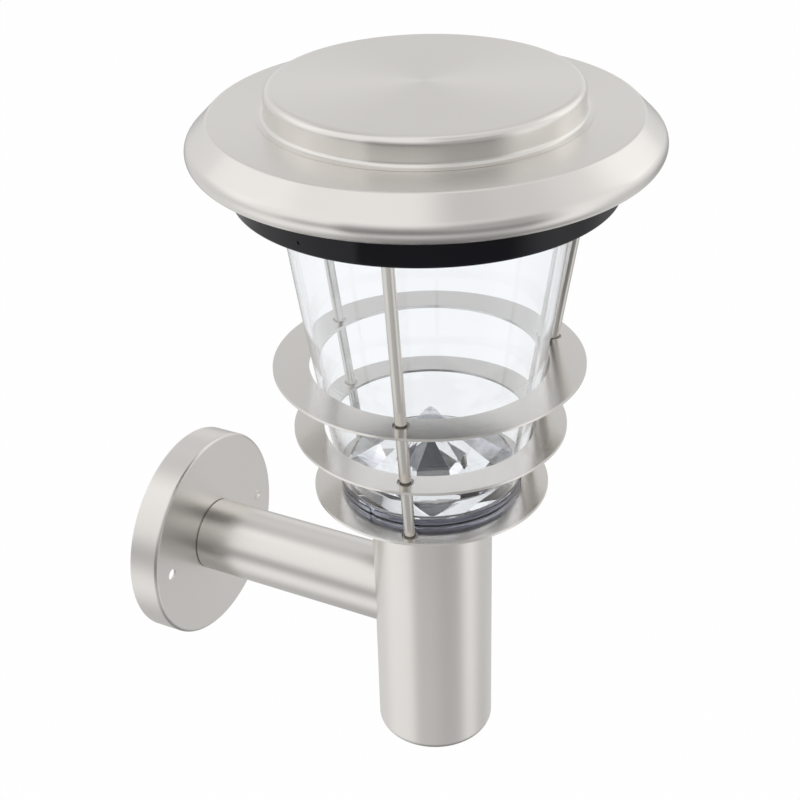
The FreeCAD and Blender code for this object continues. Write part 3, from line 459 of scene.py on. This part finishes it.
# Mouldings coloured right through: near mirrors on collar and nut, and a dull skin on what is hidden.
blackGloss = mouldedPlastic("glossBlackAbs", "#0A0912", 0.07, skin=0.001, ior=1.36)
blackSkin = mouldedPlastic("texturedBlackAbs", "#111114", 0.40, skin=0.03, skinSize=0.6)
nutDark = mouldedPlastic("darkMouldedNut", "#2C3342", 0.26, skin=0.004, skinSize=1.2, second="#414A5C")
rubber = mouldedPlastic("mouldedNitrileRubber", "#151518", 0.60, skin=0.02, skinSize=0.3)
boardGreen = mouldedPlastic("solderMaskLaminate", "#16502F", 0.30, skin=0.01, second="#1E6A3C")
chipBlack = mouldedPlastic("mouldedComponent", "#17171A", 0.45, skin=0.02)
sleeveGreen = sleevedCell("printedBatterySleeve", *nodeBox("battery"))
cellBlue = siliconCell("laminatedSilicon", lampAxis)

# Plated and welded metal: zinc is cloudy grey, nickel is warmer, the reflector is a mirror, the beads are matt.
zinc = platedMetal("zincPlatedSteel", "#BFC2C4", 0.28, peel=0.01)
nickel = platedMetal("nickelPlatedSpring", "#D0CEC7", 0.20)
bright = platedMetal("metallisedReflector", "#ECECEC", 0.06)
weldSteel = platedMetal("brushedWeldBead", "#D8D5D0", 0.35, peel=0.01)
print("materials:", len(bpy.data.materials))


# Camera, fitted to the photograph

camera = {"place": (-412.6, -317.5, 352.6), "heading": 28.20, "pitch": 30.072, "roll": -1.663,
          "lens": 69.96, "sensor": 36.0}      # mm and degrees
cameraData = bpy.data.cameras.new("camera")
cameraData.lens = camera["lens"]
cameraData.sensor_width = camera["sensor"]
cameraData.sensor_fit = "HORIZONTAL"
cameraData.clip_start = 10 * mm
cameraObject = bpy.data.objects.new("camera", cameraData)
scene.collection.objects.link(cameraObject)
heading, pitch, roll = (math.radians(camera[k]) for k in ("heading", "pitch", "roll"))
forward = Vector((math.cos(heading) * math.cos(pitch), math.sin(heading) * math.cos(pitch), -math.sin(pitch)))
level = Vector((math.sin(heading), -math.cos(heading), 0))
upright = level.cross(forward)
right = level * math.cos(roll) + upright * math.sin(roll)
up = upright * math.cos(roll) - level * math.sin(roll)
turned = Matrix((right, up, -forward)).transposed().to_4x4()
turned.translation = Vector(camera["place"]) * mm
cameraObject.matrix_world = turned
scene.camera = cameraObject
print("camera placed")


# Upright tube, arm and wall plate

tube = {"radius": 21.5, "wall": 1.2, "low": -51.5, "high": 52.0, "edge": 0.15}
line = bentLine([(tube["radius"], tube["low"]), (tube["radius"], tube["high"], tube["edge"]),
                 (tube["radius"] - tube["wall"], tube["high"]), (tube["radius"] - tube["wall"], tube["low"])])
put(turnedPiece("bodyTube", line), "wall_stand", "brushed_stainless", tubeSteel, "body_tube")

bottom = {"low": -56.0, "bend": 3.0, "lip": 6.0, "edge": 0.3}
rim, seam = tube["radius"], tube["low"]
lip = rim - tube["wall"]
line = bentLine([(0, bottom["low"]), (rim, bottom["low"], bottom["bend"]), (rim, seam), (lip, seam),
                 (lip, seam + bottom["lip"], bottom["edge"]),
                 (lip - tube["wall"], seam + bottom["lip"], bottom["edge"]),
                 (lip - tube["wall"], bottom["low"] + tube["wall"], bottom["bend"] - tube["wall"]),
                 (0, bottom["low"] + tube["wall"])])
put(turnedPiece("tubeBottom", line), "wall_stand", "brushed_stainless", tubeSteel, "tube_bottom")

arm = {"radius": 14.0, "wall": 1.2, "start": -12.0, "joint": 0.35, "jointDepth": 0.7}


# The arm's end follows the upright tube: at each turn round the arm, its length stops where
# y = lamp's y + sqrt(tube radius squared - x squared). At the plate it leaves a fine, dark joint. The rows go up
# the joint's floor, along the outer face and back along the inner face.
def armGrid(around=160, along=24):
    turn = np.linspace(0, 2 * math.pi, around, endpoint=False)
    share = np.linspace(0, 1, along)[:, None]
    outer, inner, shoulder = arm["radius"], arm["radius"] - arm["wall"], arm["start"] - arm["joint"]
    rows = []
    for radius, start, order in ((outer - arm["jointDepth"], arm["start"], None), (outer, shoulder, slice(None)),
                                 (inner, arm["start"], slice(None, None, -1))):
        x, z = radius * np.cos(turn), radius * np.sin(turn)
        end = lampAxis[1] / mm + np.sqrt(tube["radius"] ** 2 - x ** 2)
        y = start + (end - start) * share[order] if order else np.array([[start], [shoulder]])
        rows.append(np.stack([x + 0 * y, y + 0 * x, z + 0 * y], -1))
    points = np.concatenate(rows) * mm
    return points, gridFaces(len(points), around, closeRows=True, closeColumns=True)


put(meshFrom("armTube", [armGrid()]), "wall_stand", "brushed_stainless", armSteel, "arm_tube")

plate = {"radius": 40.5, "depth": 12.0, "wall": 1.0, "bend": 1.3, "edge": 0.2, "hole": 2.25, "spacing": 61.0,
         "boltHole": 3.1}
line = sheetLine([(0, plate["depth"]), (plate["radius"], plate["depth"], plate["bend"]), (plate["radius"], 0)],
                 plate["wall"], plate["edge"])
outOfWall = np.array([0, -mm, 0])      # a millimetre; the cutters run from 5 mm behind the wall to 20 mm before it
dish = meshFrom("wallPlate", [barGrid(line, np.zeros(3), outOfWall, around=192, closed=True)])
holes = []
for radius, aside in ((plate["hole"], -plate["spacing"] / 2), (plate["hole"], plate["spacing"] / 2),
                      (plate["boltHole"], 0)):
    spot = np.array([aside * mm, 0, 0])
    holes.append(barPiece("cutter", radius, spot - 5 * outOfWall, spot + 20 * outOfWall, edge=0))
put(drill(dish, holes), "wall_stand", "brushed_stainless", plateSteel, "wall_plate")
print("tubes and wall plate made")


# Cage: rings, rods and collar

cage = {"turn": 15.0, "footRadius": 36.56, "footHeight": 53.0, "headRadius": 56.4, "headHeight": 163.3,
        "rodRadius": 2.0, "rodLow": 52.4, "rodHigh": 167.3, "rodEdge": 0.3, "sheet": 1.0, "hole": 2.8, "edge": 0.12}

# Outer radius, inner radius and height of the top
rings = {"lower_ring": (41.11, 2.7, 53.0), "middle_ring": (47.06, 36.7, 77.0), "upper_ring": (53.0, 40.7, 101.0)}
rodTurns = {"rod_back": 90 - cage["turn"], "rod_left": 210 - cage["turn"], "rod_right": 330 - cage["turn"]}


def rodSpot(angle, height):     # a point on a rod's axis: its distance from the lamp's axis grows with height
    share = (height - cage["footHeight"]) / (cage["headHeight"] - cage["footHeight"])
    radius = cage["footRadius"] + (cage["headRadius"] - cage["footRadius"]) * share
    turn = math.radians(angle)
    return np.array([radius * math.cos(turn), radius * math.sin(turn), height]) * mm + lampAxis


# Each ring is drilled along the leaning rods, from 4 mm below it to 4 mm above.
for name, (outer, inner, top) in rings.items():
    low, edge = top - cage["sheet"], cage["edge"]
    line = bentLine([(inner, low, edge), (outer, low, edge), (outer, top, edge), (inner, top, edge)])
    ring = turnedPiece(name.replace("_r", "R"), line, around=240)
    cutters = [barPiece("cutter", cage["hole"], rodSpot(a, low - 4), rodSpot(a, top + 4), edge=0)
               for a in rodTurns.values()]
    put(drill(ring, cutters), "wall_stand", "brushed_stainless", ringSteel, name)

for name, angle in rodTurns.items():
    rod = barPiece(name.replace("_", "").replace("rod", "rodAt"), cage["rodRadius"], rodSpot(angle, cage["rodLow"]),
                   rodSpot(angle, cage["rodHigh"]), cage["rodEdge"])
    put(rod, "wall_stand", "polished_rod", rodSteel, name)

welds = {"gap": 2.75, "sink": 0.35, "dip": 0.14, "dipOut": 0.35, "below": 1.1, "depth": 0.9, "toe": 0.5,
         "overlap": 0.02, "base": 3.0}


# A weld fills the gap between a rod and its ring from below: its line runs from the rod, just under the ring's
# top, out to the hole, and under the ring it swells to a small fillet. The rod leans, so that heights over the
# base are stretched by its length over its rise.
def weldGrid(top, angle, hanging):
    low, rod, face = top - cage["sheet"], cage["rodRadius"] - welds["overlap"], top - welds["sink"]
    line = [(rod, face), (rod + welds["dipOut"], face - welds["dip"], 0.2), (welds["gap"], face, 0.1),
            (welds["gap"], low)]
    if hanging:
        line += [(welds["gap"] + welds["below"], low, 0.15), (rod + welds["toe"], low - welds["depth"], 0.3),
                 (rod, low - welds["depth"])]
    else:
        line += [(rod, low)]
    base, end = rodSpot(angle, top - welds["base"]), rodSpot(angle, top)
    profile = bentLine(line)
    profile[:, 1] = (profile[:, 1] - (top - welds["base"])) * np.linalg.norm(end - base) / (welds["base"] * mm)
    return barGrid(profile, base, end, around=40, closed=True)


for name, (outer, inner, top) in rings.items():
    beads = [weldGrid(top, angle, inner > 10) for angle in rodTurns.values()]
    put(meshFrom("welds" + name.title().replace("_", ""), beads), "wall_stand", "zinc_fastener", weldSteel,
        "ring_welds")

collar = {"radius": 62.2, "wall": 2.0, "low": 163.3, "floor": 3.0, "top": 176.0, "opening": 48.8, "edge": 0.8,
          "lip": 0.3, "fillet": 0.5, "boss": 3.6, "bossLow": 164.8, "bossTop": 168.2, "bossEdge": 0.4, "dimple": 0.6,
          "dimpleDepth": 0.3, "dimpleTurn": 170.0, "dimpleUp": 3.4}
rim, inner, deck = collar["radius"], collar["radius"] - collar["wall"], collar["low"] + collar["floor"]
line = bentLine([(collar["opening"], collar["low"], collar["lip"]), (rim, collar["low"], collar["edge"]),
                 (rim, collar["top"], collar["edge"]), (inner, collar["top"], collar["lip"]),
                 (inner, deck, collar["fillet"]), (collar["opening"], deck, collar["lip"])])
grids = [turnedGrid(line, around=256)]
for angle in rodTurns.values():
    start, end = rodSpot(angle, collar["bossLow"]), rodSpot(angle, collar["bossTop"])
    length = np.linalg.norm(end - start) / mm
    boss = bentLine([(0, 0), (collar["boss"], 0), (collar["boss"], length, collar["bossEdge"]), (0, length)],
                    closed=False)
    grids.append(barGrid(boss, start, end))
turn = math.radians(collar["dimpleTurn"])
out = np.array([math.cos(turn), math.sin(turn), 0])
height = np.array([0, 0, collar["low"] + collar["dimpleUp"]])
spot = lampAxis + out * (rim - collar["dimpleDepth"]) * mm + height * mm
pit = barPiece("cutter", collar["dimple"], spot, spot + out * 2 * mm, edge=0, around=32)
put(drill(meshFrom("collar", grids), [pit]), "wall_stand", "black_abs", blackGloss, "collar_ring")
print("cage made")


# Lens and what stands in it

lens = {"low": 53.0, "high": 163.3, "deck": 166.3, "footWall": 31.0, "topWall": 47.8, "bulge": 1.0, "wall": 2.0,
        "foot": 31.7, "footTop": 56.3, "flange": 50.4, "flangeTop": 168.3, "hole": 2.7, "footHole": 28.6, "edge": 0.6,
        "notches": 3, "notchTurn": 167.0, "notchWidth": 2.0, "notchDepth": 0.6, "rows": 30, "seam": 0.02,
        "floorGap": 0.05}


# Radius of the lens wall at a height: one arc from foot to top, bowed out past the straight line by the bulge.
def lensRadius(height):
    rise = (lens["high"] - lens["low"]) / 2
    lean = lens["topWall"] - lens["footWall"]
    chord = math.hypot(rise, lean / 2)
    sweep = (chord * chord + lens["bulge"] ** 2) / (2 * lens["bulge"])
    back = sweep - lens["bulge"]
    centreRadius = (lens["topWall"] + lens["footWall"]) / 2 - back * rise / chord
    centreHeight = lens["low"] + rise + back * (lean / 2) / chord
    return centreRadius + np.sqrt(sweep ** 2 - (height - centreHeight) ** 2)


# Both walls stop short of the corners at the foot, the deck and the flange, which have bends of their own.
heights = np.linspace(lens["footTop"] + 0.5, lens["deck"] - 0.5, lens["rows"])
outerWall = np.stack([lensRadius(heights), heights], -1)
heights = np.linspace(lens["flangeTop"] - 0.6, lens["footTop"] + 0.8, lens["rows"])
innerWall = np.stack([lensRadius(heights) - lens["wall"], heights], -1)
topLine = bentLine([tuple(outerWall[-2]), (lensRadius(lens["deck"]), lens["deck"], 0.3),
                    (lens["flange"], lens["deck"], 0.2), (lens["flange"], lens["flangeTop"], lens["edge"]),
                    (lensRadius(lens["flangeTop"]) - lens["wall"], lens["flangeTop"], 0.4),
                    tuple(innerWall[1])], closed=False)[1:-1]
footWall = lensRadius(lens["footTop"])
seam = lens["footTop"] + lens["seam"]
line = np.concatenate([[(footWall - lens["wall"], seam), (footWall, seam)], outerWall[:-1], topLine, innerWall[1:]])
put(turnedPiece("lensCup", line, around=240), "wall_stand", "clear_plastic", lensClear, "lens_cup")

line = bentLine([(lens["footHole"], lens["low"], 0.2), (lens["foot"], lens["low"], lens["edge"]),
                 (lens["foot"], lens["footTop"], lens["edge"]), (footWall - lens["wall"], lens["footTop"], 0.2),
                 (lens["footHole"], lens["footTop"] - 0.4, 0.2)])
notches = []
cutterDepth, cutterHeight = 2, 9        # mm; the foot is less than half as high, so each cutter goes right through
for k in range(lens["notches"]):
    turn = math.radians(lens["notchTurn"] + k * 360 / lens["notches"])
    reach = (lens["foot"] - lens["notchDepth"] + cutterDepth / 2) * mm
    spot = lampAxis + np.array([math.cos(turn) * reach, math.sin(turn) * reach, lens["low"] * mm])
    notches.append(blockPiece("cutter", spot, (cutterDepth, lens["notchWidth"], cutterHeight), turn))
put(drill(turnedPiece("lensFoot", line, around=240), notches), "wall_stand", "clear_plastic", footClear, "lens_cup")
rim = lens["footHole"] - lens["floorGap"]
line = bentLine([(lens["hole"], lens["low"]), (rim, lens["low"], 0.2), (rim, lens["footTop"], 0.3),
                 (lens["hole"], lens["footTop"], 0.2)])
put(turnedPiece("lensFloor", line, around=96), "wall_stand", "clear_plastic", floorClear, "lens_cup")

cone = {"base": 56.33, "skirt": 61.8, "radius": 29.1, "tip": 80.7, "tipRadius": 2.2, "facets": 12,
        "spireRadius": 6.0, "spireLow": 75.8, "seamRadius": 8.0, "pip": 1.3, "pipTop": 81.8, "dimple": 0.7,
        "dimpleFloor": 81.1, "pocket": 9.95, "pocketShoulder": 59.4, "pocketRoof": 0.95, "pocketTop": 67.5,
        "pocketSides": 6, "edge": 0.3, "pipEdge": 0.2, "skirtStep": 0.05, "seam": 0.02}


# Rows of (radius, height, sides) turned about the lamp's axis. A row with sides follows a regular polygon, at
# cos(half a side) / cos(turn from the side's middle) of its corners' radius; a row without is round.
def prismGrid(rows, steps=8):
    rows = np.array(rows, float)
    around = cone["facets"] * steps
    turn = np.linspace(0, 2 * math.pi, around, endpoint=False)
    sides = rows[:, 2, None]
    half = math.pi / np.where(sides > 0, sides, 4)
    side = np.where(sides > 0, np.cos(half) / np.cos(turn % (2 * half) - half), 1)
    radius = rows[:, 0, None] * mm * side
    height = np.broadcast_to(rows[:, 1, None] * mm, radius.shape)
    points = np.stack([radius * np.cos(turn), radius * np.sin(turn), height], -1) + lampAxis
    return points, gridFaces(len(rows), around, closeRows=False, closeColumns=True)


# The light cone is solid but for the nut's pocket. Its tip is a piece of its own, because the photo's tip is as
# clear as a thin wall while the body below it bends light strongly. Below its facets the skirt is round.
low, rim, edge = cone["base"], cone["radius"], cone["edge"]
pip, pipEdge, many, six = cone["pip"], cone["pipEdge"], cone["facets"], cone["pocketSides"]
share = (cone["seamRadius"] - cone["spireRadius"]) / (rim - cone["spireRadius"])
seam = cone["spireLow"] + (cone["skirt"] - cone["spireLow"]) * share
tipRows = [(0, cone["dimpleFloor"], 0), (cone["dimple"], cone["dimpleFloor"], 0), (cone["dimple"], cone["pipTop"], 0),
           (pip - pipEdge, cone["pipTop"], 0), (pip, cone["pipTop"] - pipEdge, 0), (pip, cone["tip"], 0),
           (cone["tipRadius"], cone["tip"], many), (cone["spireRadius"], cone["spireLow"], many),
           (cone["seamRadius"], seam + cone["seam"], many), (0, seam + cone["seam"], 0)]
bodyRows = [(0, seam, 0), (cone["seamRadius"], seam, many), (rim, cone["skirt"], many),
            (rim, cone["skirt"] - cone["skirtStep"], 0), (rim, low + edge, 0), (rim - edge, low, 0),
            (cone["pocket"], low, six), (cone["pocket"], cone["pocketShoulder"], six),
            (cone["pocketRoof"], cone["pocketTop"], six), (0, cone["pocketTop"], 0)]
put(meshFrom("lightCone", [prismGrid(bodyRows)], sharp=12), "wall_stand", "clear_plastic", coneClear, "light_cone")
put(meshFrom("coneTip", [prismGrid(tipRows)], sharp=12), "wall_stand", "clear_plastic", tipClear, "light_cone")
dressNode("lens_nut", nutDark)
print("lens made")


# Head: hat, crown, window and bezel

hat = {"hole": 44.2, "flat": 68.0, "top": 189.0, "drop": 13.7, "shoulder": 1.2, "rim": 4.5, "hem": 64.0,
       "hemBend": 1.2, "hemHeight": 2.5, "wall": 0.8, "edge": 0.12}
low = hat["top"] - hat["drop"]
line = sheetLine([(hat["hole"], hat["top"]), (hat["flat"], hat["top"], hat["shoulder"]),
                  (hat["flat"] + hat["drop"], low, hat["rim"]), (hat["hem"], low, hat["hemBend"]),
                  (hat["hem"], low + hat["hemHeight"])], hat["wall"], hat["edge"])
put(turnedPiece("hat", line, around=320), "head", "brushed_stainless", spunSteel, "hat")

crown = {"radius": 50.0, "top": 198.0, "bend": 2.5, "cove": 1.6, "coveHeight": 189.3, "brim": 52.6, "brimTop": 189.1,
         "low": 189.03, "wall": 0.8, "edge": 0.3}
rim, inner = crown["radius"], crown["radius"] - crown["wall"]
line = bentLine([(0, crown["top"]), (rim, crown["top"], crown["bend"]), (rim, crown["coveHeight"], crown["cove"]),
                 (crown["brim"], crown["brimTop"]), (crown["brim"], crown["low"]),
                 (inner, crown["low"], crown["edge"]),
                 (inner, crown["top"] - crown["wall"], crown["bend"] - crown["wall"]),
                 (0, crown["top"] - crown["wall"])])
put(turnedPiece("crownCover", line, around=320), "crown", "brushed_stainless", spunSteel, "crown_cover")

bezel = {"land": 43.8, "radius": 48.6, "lip": 41.6, "low": 189.0, "windowTop": 190.0, "top": 191.0,
         "outerEdge": 0.5, "innerEdge": 0.3, "burr": 0.1}
line = bentLine([(bezel["lip"], bezel["windowTop"], bezel["burr"]), (bezel["land"], bezel["windowTop"]),
                 (bezel["land"], bezel["low"]), (bezel["radius"], bezel["low"], bezel["burr"]),
                 (bezel["radius"], bezel["top"], bezel["outerEdge"]),
                 (bezel["lip"], bezel["top"], bezel["innerEdge"])])
put(turnedPiece("windowBezel", line), "head", "black_abs", blackSkin, "window_bezel")
windowLow, windowHigh = nodeBox("solar_window")
rim, low, high, edge = windowHigh[0] / mm, windowLow[2] / mm, windowHigh[2] / mm, 0.2
line = bentLine([(0, low), (rim, low, edge), (rim, high, edge), (0, high)], closed=False)
put(turnedPiece("solarWindow", line, closed=False), "head", "window_glass", windowClear, "solar_window")
print("head made")

for name, material in {
    "arm_end_disc": zinc, "arm_bolt": zinc, "arm_washer": zinc, "tube_disc": zinc,
    "rod_screws": zinc, "lens_bolt": zinc, "lens_washer": zinc, "head_screws": zinc, "door_pin": zinc,
    "chassis": blackGloss, "battery_door": blackGloss, "lens_seal": rubber, "cell_tray": blackSkin,
    "solar_cell": cellBlue, "battery": sleeveGreen, "contact_plate": nickel, "contact_spring": nickel,
    "led_reflector": bright, "led_lamp": lampClear, "circuit_board": boardGreen, "board_parts": chipBlack,
    "switch_body": chipBlack, "switch_slider": blackSkin,
}.items():
    dressNode(name, material)
print("inner pieces dressed")


# Studio: a light tent, open and darker on the camera's side, over a pale floor

# Each wall of the tent starts at an edge, in degrees from the camera's direction seen from above, blurred by so
# many degrees each way, and has a strength at each elevation. A softbox has a bearing and a height in degrees, a
# side in metres and a radiance.
studio = {
    "elevations": (-90, -60, -38, -20, -5, 10, 22, 34, 46, 60, 75, 90),
    "walls": {
        "back": (130, 14, (0.20, 0.42, 0.93, 0.13, 0.73, 0.93, 0.73, 0.61, 0.86, 0.58, 0.92, 1.26)),
        "backLeft": (-150, 14, (0.20, 0.64, 0.85, 0.74, 0.74, 0.83, 0.90, 0.93, 0.69, 0.50, 0.72, 1.12)),
        "left": (-105, 14, (0.20, 0.57, 1.15, 0.93, 0.54, 1.12, 1.53, 1.54, 1.43, 1.17, 1.02, 1.13)),
        "leftFront": (-66, 10, (0.20, 0.35, 1.39, 0.76, 0.24, 0.78, 1.50, 1.50, 1.50, 1.43, 1.21, 1.16)),
        "frontLeft": (-41, 3, (0.20, 0.35, 0.92, 0.05, 0.27, 0.37, 0.71, 0.97, 1.09, 1.01, 0.93, 1.17)),
        "frontRight": (8, 16, (0.20, 0.35, 0.76, 0.05, 0.38, 0.59, 0.26, 0.58, 0.99, 0.56, 0.60, 1.00)),
        "rightFront": (58, 13, (0.20, 0.30, 1.20, 1.05, 0.96, 0.97, 0.93, 0.83, 0.77, 0.64, 0.79, 1.09)),
        "right": (90, 14, (0.20, 0.23, 0.77, 0.56, 0.90, 1.01, 0.97, 0.83, 0.89, 0.91, 0.97, 1.18)),
    },
    "softboxes": {
        "softboxLeft": (-104, 36, 0.55, 0.12),
        "softboxRight": (122, 30, 0.55, 0.20),
    },
    "boxDistance": 0.9,         # metres
    "boxAim": 0.12,             # metres above the foot of the lamp's axis: the spot that the softboxes face
}


# Level directions at the lamp: towards the camera, and to the camera's right.
def levelWays():
    toCamera = cameraObject.matrix_world.translation - Vector(lampAxis)
    ahead = Vector((toCamera.x, toCamera.y, 0)).normalized()
    aside = Vector((-ahead.y, ahead.x, 0))
    return ahead, aside if aside.dot(level) > 0 else -aside


# The tent's strength depends on direction alone: the elevation is a place on each wall's ramp, and the bearing
# round the lamp says which walls count. The camera and rays through clear plastic have plain white instead.
def buildWorld():
    world = bpy.data.worlds.new("tent")
    scene.world = world
    world.use_nodes = True
    tree = world.node_tree
    tree.nodes.clear()
    way = addNode(tree, "ShaderNodeTexCoord").outputs["Generated"]
    ahead, aside = levelWays()
    along, across = (addNode(tree, "ShaderNodeVectorMath", {0: way, 1: tuple(line)},
                             operation="DOT_PRODUCT").outputs["Value"] for line in (ahead, aside))
    bearing = addNode(tree, "ShaderNodeMath", {0: across, 1: along}, operation="ARCTAN2")
    rise = addNode(tree, "ShaderNodeSeparateXYZ", {0: way}).outputs["Z"]
    height = addNode(tree, "ShaderNodeMath", {0: rise}, operation="ARCSINE")
    share = addNode(tree, "ShaderNodeMapRange", {"Value": height, "From Min": -math.pi / 2, "From Max": math.pi / 2})

    def wallRamp(name, strengths):
        made = addNode(tree, "ShaderNodeValToRGB", {"Fac": share}, name=name)
        made.color_ramp.interpolation = "B_SPLINE"
        elements = made.color_ramp.elements
        while len(elements) > 1:
            elements.remove(elements[-1])
        for k, (angle, strength) in enumerate(zip(studio["elevations"], strengths)):
            element = elements[0] if k == 0 else elements.new((angle + 90) / 180)
            element.position = (angle + 90) / 180
            element.color = (strength, strength, strength, 1)
        return made.outputs["Color"]

    # Going round from behind the lamp, each wall takes over from the one before it across its own edge.
    walls = [(edge, soft, wallRamp(name, strengths)) for name, (edge, soft, strengths) in studio["walls"].items()]
    sky = walls[0][2]
    for edge, soft, ramp in walls[1:] + walls[:1]:
        past = addNode(tree, "ShaderNodeMapRange", {"Value": bearing, "From Min": math.radians(edge - soft),
                       "From Max": math.radians(edge + soft)}, interpolation_type="SMOOTHSTEP")
        sky = addNode(tree, "ShaderNodeMix", {0: past, 6: sky, 7: ramp}, data_type="RGBA").outputs[2]
    rays = addNode(tree, "ShaderNodeLightPath").outputs
    seen = addNode(tree, "ShaderNodeMath", {0: rays["Is Camera Ray"], 1: rays["Is Transmission Ray"]},
                   operation="MAXIMUM")
    tent = addNode(tree, "ShaderNodeBackground", {"Color": sky, "Strength": 1.0})
    white = addNode(tree, "ShaderNodeBackground", {"Color": (1, 1, 1, 1), "Strength": 1.0})
    mix = addNode(tree, "ShaderNodeMixShader", {0: seen, 1: tent, 2: white})
    addNode(tree, "ShaderNodeOutputWorld", {"Surface": mix})


# A square softbox that faces the lamp from a bearing and a height in degrees. Cycles spreads an area light's watts
# over four times its area.
def buildSoftbox(name, bearing, height, size, radiance):
    ahead, aside = levelWays()
    turn, lift = math.radians(bearing), math.radians(height)
    way = (ahead * math.cos(turn) + aside * math.sin(turn)) * math.cos(lift) + Vector((0, 0, math.sin(lift)))
    lamp = bpy.data.lights.new(name, "AREA")
    lamp.size = size
    lamp.energy = radiance * 4 * size * size
    box = bpy.data.objects.new(name, lamp)
    box.location = Vector(lampAxis) + Vector((0, 0, studio["boxAim"])) + way * studio["boxDistance"]
    box.rotation_euler = way.to_track_quat("Z", "Y").to_euler()
    scene.collection.objects.link(box)


buildWorld()
for name, values in studio["softboxes"].items():
    buildSoftbox(name, *values)


paper = {
    "half": 6.0,                # metres from the middle to a side
    "drop": 0.55,               # metres below the lamp's origin
    "colour": "#FBFBFB",
    "fibres": 900.0,            # per metre
    "bump": 0.05,               # mm
    "white": 0.97,              # the share that the camera sees as plain white; the rest carries the shadow
}


# The floor is pale paper: the camera sees it as white with the lamp's soft shadow, and reflections pass
# through it to the tent.
def buildFloor():
    mesh = bpy.data.meshes.new("paperFloor")
    corners = np.array([(-1, -1), (1, -1), (1, 1), (-1, 1)], float) * paper["half"]
    points = np.column_stack([corners, np.full(4, -paper["drop"])])
    mesh.from_pydata(points.tolist(), [], [(0, 1, 2, 3)])
    floor = bpy.data.objects.new("paperFloor", mesh)
    scene.collection.objects.link(floor)
    material, tree, spot = newMaterial("palePaper")
    fibre = addNode(tree, "ShaderNodeTexNoise", {"Vector": spot, "Scale": paper["fibres"], "Detail": 3.0})
    bump = addNode(tree, "ShaderNodeBump", {"Height": fibre, "Distance": paper["bump"] * mm, "Strength": 0.3})
    matt = addNode(tree, "ShaderNodeBsdfDiffuse", {"Color": linear(paper["colour"]), "Normal": bump})
    glow = addNode(tree, "ShaderNodeEmission", {"Color": (1, 1, 1, 1), "Strength": 1.0})
    seen = addNode(tree, "ShaderNodeMixShader", {0: paper["white"], 1: matt, 2: glow})
    rays = addNode(tree, "ShaderNodeLightPath").outputs
    through = addNode(tree, "ShaderNodeBsdfTransparent")
    plain = addNode(tree, "ShaderNodeMixShader", {0: rays["Is Camera Ray"], 1: matt, 2: seen})
    passing = addNode(tree, "ShaderNodeMath", {0: rays["Is Glossy Ray"], 1: rays["Is Transmission Ray"]},
                      operation="MAXIMUM")
    mix = addNode(tree, "ShaderNodeMixShader", {0: passing, 1: plain, 2: through})
    finishMaterial(tree, mix)
    mesh.materials.append(material)


buildFloor()
scene.view_settings.view_transform = "Standard"
print("studio made")
